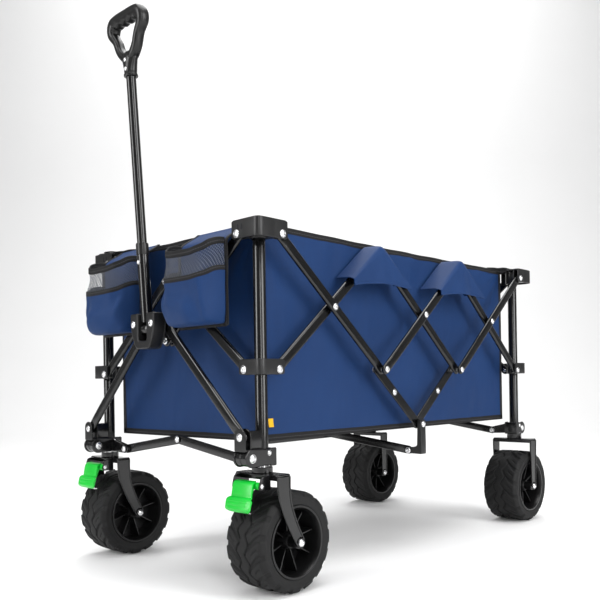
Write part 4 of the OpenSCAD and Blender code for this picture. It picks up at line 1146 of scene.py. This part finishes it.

# %% [markdown]
# Each wall rides on the post that it starts from. The share of its length that would be left between the folded posts
# is worked out, but the walls are not squashed to it.

# %% Four walls
FOLD_TURN = math.radians([j["range_deg"][1] for j in frame["joints"] if j["name"] == "fold"][0])
REST_ANGLE = math.atan2(TOP_Z - LOW_Z, UNIT)
SHRINK = math.cos(REST_ANGLE + FOLD_TURN) / math.cos(REST_ANGLE)
END_Y = SIDE_Y0 - FRONT_Y
KEEP_Y = (2 * END_Y + 3 * UNIT * SHRINK) / (2 * END_Y + 3 * UNIT)
KEEP_X = (POST_X - FACE_RUN + FACE_RUN * SHRINK) / POST_X


def side_place(sx):
    return lambda u, out, z: np.stack([sx * (TUB_X + out), MID_Y - TUB_Y + u, z + 0 * u], -1)


def end_place(sy):
    return lambda u, out, z: np.stack([TUB_X - u, MID_Y + sy * (TUB_Y + out), z + 0 * u], -1)


for name, length, seed, place, body, axis, anchor, keep in (
        ("right", 2 * TUB_Y, 3, side_place(1), "front_right_post", (0, 1, 0), (0, FRONT_Y, 0), KEEP_Y),
        ("left", 2 * TUB_Y, 17, side_place(-1), "front_left_post", (0, 1, 0), (0, FRONT_Y, 0), KEEP_Y),
        ("front", 2 * TUB_X, 29, end_place(-1), "front_right_post", (1, 0, 0), (POST_X, 0, 0), KEEP_X),
        ("rear", 2 * TUB_X, 41, end_place(1), "rear_right_post", (1, 0, 0), (POST_X, 0, 0), KEEP_X)):
    cloth, tapes = wall(length, seed, place)
    made = soft_piece(f"tub_wall_{name}", cloth, body, ["tub"] if name == "right" else ())
    bound = soft_piece(f"tub_tape_{name}", tapes, body)
    for soft in (made, bound):
        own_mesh(soft)
print("walls keep", round(KEEP_Y, 3), "of their length and", round(KEEP_X, 3), "of their width when folded")

# %% [markdown]
# At each corner the rim's tape leaves the wall and passes over the top of the bracket, as a strap that carries the tub
# on the post. Its path is a low arch from one wall's rim, over the post, to the other's.

# %% Corner straps
CAP_Z = max(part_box("top_bracket_fr")[1][2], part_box("post_fr")[1][2]) + 0.0022
edge_x = TUB_X - POST_X
line = smooth([(edge_x, 0.085, TUB_Z1 - BAND / 2), (edge_x + 0.003, 0.048, TUB_Z1 - 0.003),
               (-0.002, 0.020, CAP_Z - 0.001), (-0.004, -0.001, CAP_Z + 0.0005), (-0.026, 0.010, CAP_Z - 0.002),
               (-0.050, 0.0185, TUB_Z1 - 0.003), (-0.082, 0.0195, TUB_Z1 - BAND / 2)], 60)
lying = ramp(np.abs(np.linspace(-1, 1, len(line))), 0.55, 0.95)
ups = np.column_stack([0.72 * (1 - lying), -0.72 * (1 - lying), 0.25 + lying])
strap = taped(line + [POST_X, FRONT_Y, 0], unit_vector(ups), 0.0155, 0.0026)
for c, (sx, sy) in CORNERS.items():
    soft_piece(f"corner_strap_{c}", [strap.mirrored(sx, sy)], POSTS[c])
print("straps over", len(CORNERS), "corners at z", round(CAP_Z, 3))

# %% [markdown]
# Two flaps a side hang from the rim over the arms' upper pivots, like small tents: they keep fingers and cargo out of
# the joint. Across a flap the upper edge follows the two arms, top(y) = z0 - slope sqrt(y2 + 8 mm2), and from the wall
# the cloth runs out over the arms, turns down round them and ends in a hem.

# %% Flaps over the upper pivots
FLAP_HALF, KEEP_FLAP = 0.092, 0.40


def flap(y0, sx, seed, outermost):
    """P(y, t): the first half of t runs out from the wall, and from 0.42 on the cloth also hangs, down to the hem."""
    half, slope = FLAP_HALF, (TOP_Z - LOW_Z) / UNIT
    reach = POST_X + outermost + ARM_T / 2 + 0.0060
    y, t = np.meshgrid(np.linspace(-half, half, 81), np.linspace(0, 1, 41), indexing="ij")
    top = TOP_Z + ARM_W / 2 + 0.0030 - slope * (np.sqrt(y * y + 0.008 ** 2) - 0.008)
    hem = TOP_Z - 0.062 - 0.8 * (y - 0.02) ** 2
    hang = np.maximum(top - hem, 0.004)
    run = reach - TUB_X
    out, down = ramp(t, -0.15, 0.56), np.clip((t - 0.42) / 0.58, 0, 1)
    turn = 0.006 * np.exp(-((t - 0.46) / 0.1) ** 2)
    ripple = 0.0035 * np.cos(y * 62 + 0.5) * np.clip(1 - np.abs(y) / half, 0, 1)
    fold = ramp(down, 0.1, 1.0) * (waves(y, t * hang, seed, 0.09, 0.0014) + ripple)
    x = TUB_X + run * out ** 0.8 + fold
    z = top - hang * down ** 1.15 - turn * 0.4 + 0.003 * (1 - out)
    P = np.stack([sx * x, y0 + y, z], -1)
    cloth = slab(P, 0.0018, 0, np.stack([y, t * (run + 0.06)], -1))
    hem_line = P[:, -1] + [sx * 0.0006, 0, 0.002]
    deep = float(np.linalg.norm(np.diff(P, axis=1), axis=-1).sum(1).mean())
    return cloth, taped(hem_line, (0, 0, 1), 0.0045, 0.0026, 0), deep


for side, sx in SIDES:
    for k in (1, 2):
        cloth, hem_tape, deep = flap(SIDE_Y0 + k * UNIT, sx, 50 + 7 * k + sx, SIDE_PLANE[k])
        made = soft_piece(f"flap_{side}{k}", [cloth], POSTS[f"f{side}"])
        hem = soft_piece(f"flap_tape_{side}{k}", [hem_tape], POSTS[f"f{side}"])
        fixed = SIDE_Y0 + k * UNIT * (SHRINK - KEEP_FLAP) / (1 - KEEP_FLAP)
        for soft in (made, hem):
            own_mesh(soft)
print("a flap is", round(deep * 1000), "mm deep before it is sewn on")

# %% [markdown]
# ## Floor of the tub
# The floor is three stiff boards in black cloth, joined by sewn hinges, so that it folds up between the walls. The
# outer boards ride on the posts and slide over each other; the middle one is drawn up with the handle's bracket.
# Each is a thin pad: its skin rises by 1 mm between rows of stitches that cross it.

# %% Floor boards
BOARD_LO, BOARD_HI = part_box("floor_board")


def board(x0, x1, z):
    """Height over the board: 1 mm times sqrt |sin| between rows of stitches, and 0.7 mm times the square root of the
    distance to the edge, over its last 6 mm."""
    y0, y1 = MID_Y - TUB_Y + 0.005, MID_Y + TUB_Y - 0.005
    x, y = np.meshgrid(np.linspace(x0, x1, 61), np.linspace(y0, y1, 241), indexing="ij")
    rows = np.abs(np.sin(math.pi * (y - y0) / (y1 - y0) * 6)) ** 0.5
    near = np.minimum(np.minimum(x - x0, x1 - x), np.minimum(y - y0, y1 - y))
    h = 0.0010 * rows + 0.0007 * np.sqrt(np.clip(near / 0.006, 0, 1)) + waves(x, y, 61, 0.2, 0.0003)
    return slab(np.stack([x, y, z + h], -1), 0.0024, 3, np.stack([x, y], -1))


for name, x0, x1, z, body in (("right", 0.072, TUB_X - 0.003, 0.2595, "front_right_post"),
                              ("left", -TUB_X + 0.003, -0.072, 0.2625, "front_left_post"),
                              ("middle", -0.078, 0.078, 0.2660, "handle_bracket")):
    made = piece(f"floor_board_{name}", [board(x0, x1, z)], body, CLOTH,
                 ["floor_board"] if name == "middle" else (), 60)
    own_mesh(made)
print("three boards at z", round(float(BOARD_LO[2]), 3), "to", round(float(BOARD_HI[2]), 3))

# %% [markdown]
# ## Cup pockets
# Two pockets hang on the front wall, one on each side of the handle. A pocket is a lofted bag: at each height the cloth
# follows a flattened half ellipse, |x / w|^n + |y / d|^n = 1, whose depth d grows from the seam at the bottom, is
# fullest a third of the way up, where the bag sags, and narrows a little to the bound mouth. The upper part is an open
# net. A back panel runs up behind it to the rim.

# %% Pocket bag
POCKET_LO, POCKET_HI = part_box("cup_pocket_r")
POCKET_W, POCKET_X = (POCKET_HI[0] - POCKET_LO[0]) / 2, (POCKET_HI[0] + POCKET_LO[0]) / 2
POCKET_BACK = POCKET_HI[1]
POCKET_D, POCKET_Z0, POCKET_Z1 = POCKET_HI[1] - POCKET_LO[1], POCKET_LO[2], POCKET_HI[2]


def bag(v0, v1, steps, finish, thick):
    """The front of the bag between shares v0 and v1 of its height, seen from the front: s runs from side to side."""
    s, v = np.meshgrid(np.linspace(-1, 1, 91), np.linspace(v0, v1, steps), indexing="ij")
    a = s * math.pi / 2
    swell = (1 - (1 - np.clip(v / 0.30, 0, 1)) ** 2.4) ** 0.5
    d = (POCKET_D - 0.008) * (0.10 + 0.90 * swell) * (1 - 0.16 * ramp(v, 0.35, 1.0))
    w = (POCKET_W - 0.003) * (0.90 + 0.10 * swell - 0.03 * ramp(v, 0.6, 1.0))
    n = 0.62
    x = w * np.sign(np.sin(a)) * np.abs(np.sin(a)) ** n
    y = d * np.cos(a) ** n
    hold = ramp(1 - np.abs(s), 0, 0.12) * ramp(v, 0, 0.1)
    pleats = 0.003 * np.sin(s * 9 + 1.2) * (1 - ramp(v, 0.1, 0.7))
    folds = hold * (waves(s * 0.1, v * 0.15, 71, 0.05, 0.0019) + pleats)
    sag = -0.025 * ramp(y, 0.004, 0.080) - 0.004 * np.cos(a) ** 2 * ramp(v, 0.6, 1.0) * (1 + 0.4 * s)
    z = POCKET_Z0 + 0.007 + v * (POCKET_Z1 - POCKET_Z0 - 0.010) + sag
    P = np.stack([POCKET_X + x, POCKET_BACK - 0.0025 - y - folds, z], -1)
    along_it = np.concatenate([np.zeros((1, steps)), np.cumsum(np.linalg.norm(np.diff(P, axis=0), axis=-1), 0)])
    up_it = np.concatenate([np.zeros((91, 1)), np.cumsum(np.linalg.norm(np.diff(P, axis=1), axis=-1), 1)], 1)
    return P, slab(P, thick, finish, np.stack([along_it, up_it], -1))


def back_panel():
    """The panel stands 1.2 mm in front of the pocket's back behind the bag, and leans in to the wall's rim above it."""
    x0, x1 = POCKET_X - POCKET_W + 0.001, POCKET_X + POCKET_W - 0.001
    x, v = np.meshgrid(np.linspace(x0, x1, 61), np.linspace(0, 1, 61), indexing="ij")
    z = POCKET_Z0 + 0.004 + v * (TUB_Z1 - 0.008 - POCKET_Z0)
    lean = ramp(v, 0.80, 1.05) * (MID_Y - TUB_Y - 0.006 - POCKET_BACK)
    y = POCKET_BACK - 0.0012 + lean + waves(x, z, 77, 0.09, 0.0006) * ramp(1 - v, 0, 0.15)
    P = np.stack([x, y, z], -1)
    return P, slab(P, 0.0018, 0, np.stack([x, z], -1))


NET_FROM, KEEP_POCKET = 0.66, 0.27
print("pocket", round(2 * POCKET_W, 3), "wide,", round(POCKET_D, 3), "deep")

# %% Two pockets
def pocket_shells():
    lower, bag_cloth = bag(0.0, NET_FROM, 60, 0, 0.0016)
    upper, bag_net = bag(NET_FROM, 0.985, 24, 2, 0.0007)
    panel, panel_cloth = back_panel()
    up = (0, 0, 1)
    tapes = [taped(upper[:, -1], up, 0.012, 0.0030), taped(lower[:, -1], up, 0.009, 0.0026),
             taped(lower[:, 0] + [0, -0.001, 0], up, 0.009, 0.0030)]
    tapes += [taped(row + [0, -0.0008, 0], (1, 0, 0), 0.0085, 0.0030) for row in (panel[0], panel[-1])]
    tapes.append(taped(panel[:, 0] + [0, -0.001, 0.002], up, 0.0085, 0.0030))
    return [bag_cloth], [bag_net], [panel_cloth], tapes


for side, sx in SIDES:
    groups = [[s.mirrored(sx, 1) for s in g] for g in pocket_shells()]
    made = [soft_piece(f"pocket_{label}_{side}", g, POSTS[f"f{side}"],
                       [f"cup_pocket_{side}"] if label == "bag" else ())
            for label, g in zip(("bag", "net", "panel", "tape"), groups)]
    for soft in made:
        sx * POST_X
        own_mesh(soft)
print("pockets", [o.name for o in made])

# %% [markdown]
# ## Toggles under the floor
# Crossed bars between the feet hold the tub's floor. Only their outer ends show, below the tape at the bottom of each
# end wall. Each is a pair of flat bars that meets 27 mm higher in the middle. A small yellow label is sewn into the
# side wall's bottom seam.

# %% Toggles and label
for name, y, body in (("front", FRONT_Y + 0.004, "front_right_post"), ("rear", REAR_Y - 0.004, "rear_right_post")):
    shells = []
    for sx in (1, -1):
        a, b = (sx * (POST_X - LUG_X), y, LUG_Z), (0.0, y, LUG_Z + 0.027)
        shells.append(bar(a, b, (0, 1, 0), *TOGGLE))
        shells += [bolt((a[0], y + k * 0.0034, a[2]), (0, k, 0), 0.0050, 0.0028) for k in (-1, 1)]
    shells += [bolt((0, y + k * 0.0045, LUG_Z + 0.027), (0, k, 0), 0.0055, 0.003) for k in (-1, 1)]
    made = piece(f"toggle_{name}", shells, body, HARD, ())
    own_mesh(made)

BRACKET_LO, BRACKET_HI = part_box("centre_bracket_r")
for s, sx in SIDES:
    a = np.array([sx * (BRACKET_LO[0] + 0.008), MID_Y, BRACKET_LO[2] + 0.007])
    b = np.array([0.0, MID_Y, BRACKET_LO[2] + 0.034])
    shells = [bar(a, b, (0, 1, 0), *TOGGLE), bolt(a - [0, 0.004, 0], (0, -1, 0), 0.005, 0.0028)]
    made = piece(f"toggle_middle_{s}", shells, f"centre_bracket_{s}", HARD, ())
    sx * BRACKET_HI[0]
    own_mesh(made)

LABEL_W, LABEL_H, LABEL_Y, LABEL_Z = 0.012, 0.015, FRONT_Y + 0.034, TUB_Z0 + 0.040
u, v = np.meshgrid(np.linspace(0, LABEL_W, 13), np.linspace(0, LABEL_H, 13), indexing="ij")
curl = 0.0018 + 0.002 * (v / LABEL_H) ** 2 + 0.0006 * np.sin(u * 300)
label = slab(np.stack([TUB_X + curl + 0.0015, LABEL_Y + u, LABEL_Z - v], -1), 0.0007, 0, np.stack([u, v], -1))
tag = piece("side_label", [label], "front_right_post", [TAG], (), 60)
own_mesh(tag)
print("label at", np.round([TUB_X, LABEL_Y, LABEL_Z], 3))

# %% [markdown]
# ## Studio
# The wagon stands on a plain white sweep, a floor that curves up behind it. A large soft box overhead and tall ones at
# the front, the side and the corner between give the steel its long upright highlights. One more lights the sweep
# behind the wagon, and an even white surround fills the shadows.

# %% Floor and lights
def sweep_floor(reach=9.0, rise=5.0):
    """A flat floor that turns up through a quarter circle of radius 2.5 m behind the wagon, away from the camera."""
    turn, r = math.radians(CAMERA_TURN), 2.5
    back = np.array([-math.sin(turn), math.cos(turn), 0])
    side = np.array([back[1], -back[0], 0])
    a = np.radians(np.linspace(0, 90, 17))
    d = np.concatenate([[-6.0], 3.0 + r * np.sin(a), [3.0 + r]])
    z = np.concatenate([[0], r * (1 - np.cos(a)), [rise]])
    x = np.linspace(-reach, reach, 9)
    P = back * d[:, None, None] + side * x[None, :, None] + np.array([0, 0, 1]) * (z[:, None, None] - 0.0005)
    mesh = bpy.data.meshes.new("floor")
    mesh.from_pydata(P.reshape(-1, 3).tolist(), [], grid_quads(*P.shape[:2]).tolist())
    mesh.polygons.foreach_set("use_smooth", np.ones(len(mesh.polygons), bool))
    made = bpy.data.objects.new("floor", mesh)
    bpy.context.scene.collection.objects.link(made)
    f = Finish("white_paper", Roughness=0.75, Specular_IOR_Level=0.2)
    f.feed("Base Color", f.mix(f.noise(2, 1), (0.86, 0.86, 0.86), (0.88, 0.88, 0.88)))
    mesh.materials.append(f.material)
    return made


def look_at(place, aim):
    """A turn that points -Z at aim and keeps Y as upright as it can."""
    w = unit_vector(np.asarray(place, float) - np.asarray(aim, float))
    u = unit_vector(np.cross((0, 0, 1) if abs(w[2]) < 0.99 else (0, 1, 0), w))
    m = np.eye(4)
    m[:3, 0], m[:3, 1], m[:3, 2] = u, np.cross(w, u), w
    return Matrix(m.tolist())


def soft_box(name, place, aim, size, power, tall=1.0):
    """A rectangular light that faces aim."""
    data = bpy.data.lights.new(name, "AREA")
    data.shape, data.size, data.size_y, data.energy = "RECTANGLE", size, size * tall, power
    light = bpy.data.objects.new(name, data)
    bpy.context.scene.collection.objects.link(light)
    light.matrix_world = Matrix.Translation(place) @ look_at(place, aim)
    return light


sweep_floor()
aim = (0, MID_Y, 0.4)
soft_box("overhead", (0.3, -0.3, 3.0), aim, 2.2, 85)
soft_box("key_front", (-0.9, -3.0, 1.4), aim, 1.0, 62, 2.4)
soft_box("key_side", (3.1, 0.3, 1.4), aim, 1.5, 84, 1.6)
soft_box("corner_strip", (2.7, -1.9, 1.5), aim, 0.55, 34, 4.0)
soft_box("backdrop", (-2.4, 2.6, 5.5), (-3.4, 3.6, 0.6), 3.5, 190)
world = bpy.data.worlds.new("surround")
world.use_nodes = True
world.node_tree.nodes["Background"].inputs["Color"].default_value = (1, 1, 1, 1)
world.node_tree.nodes["Background"].inputs["Strength"].default_value = 0.24
bpy.context.scene.world = world
bpy.context.scene.view_settings.view_transform = "Standard"

# %% [markdown]
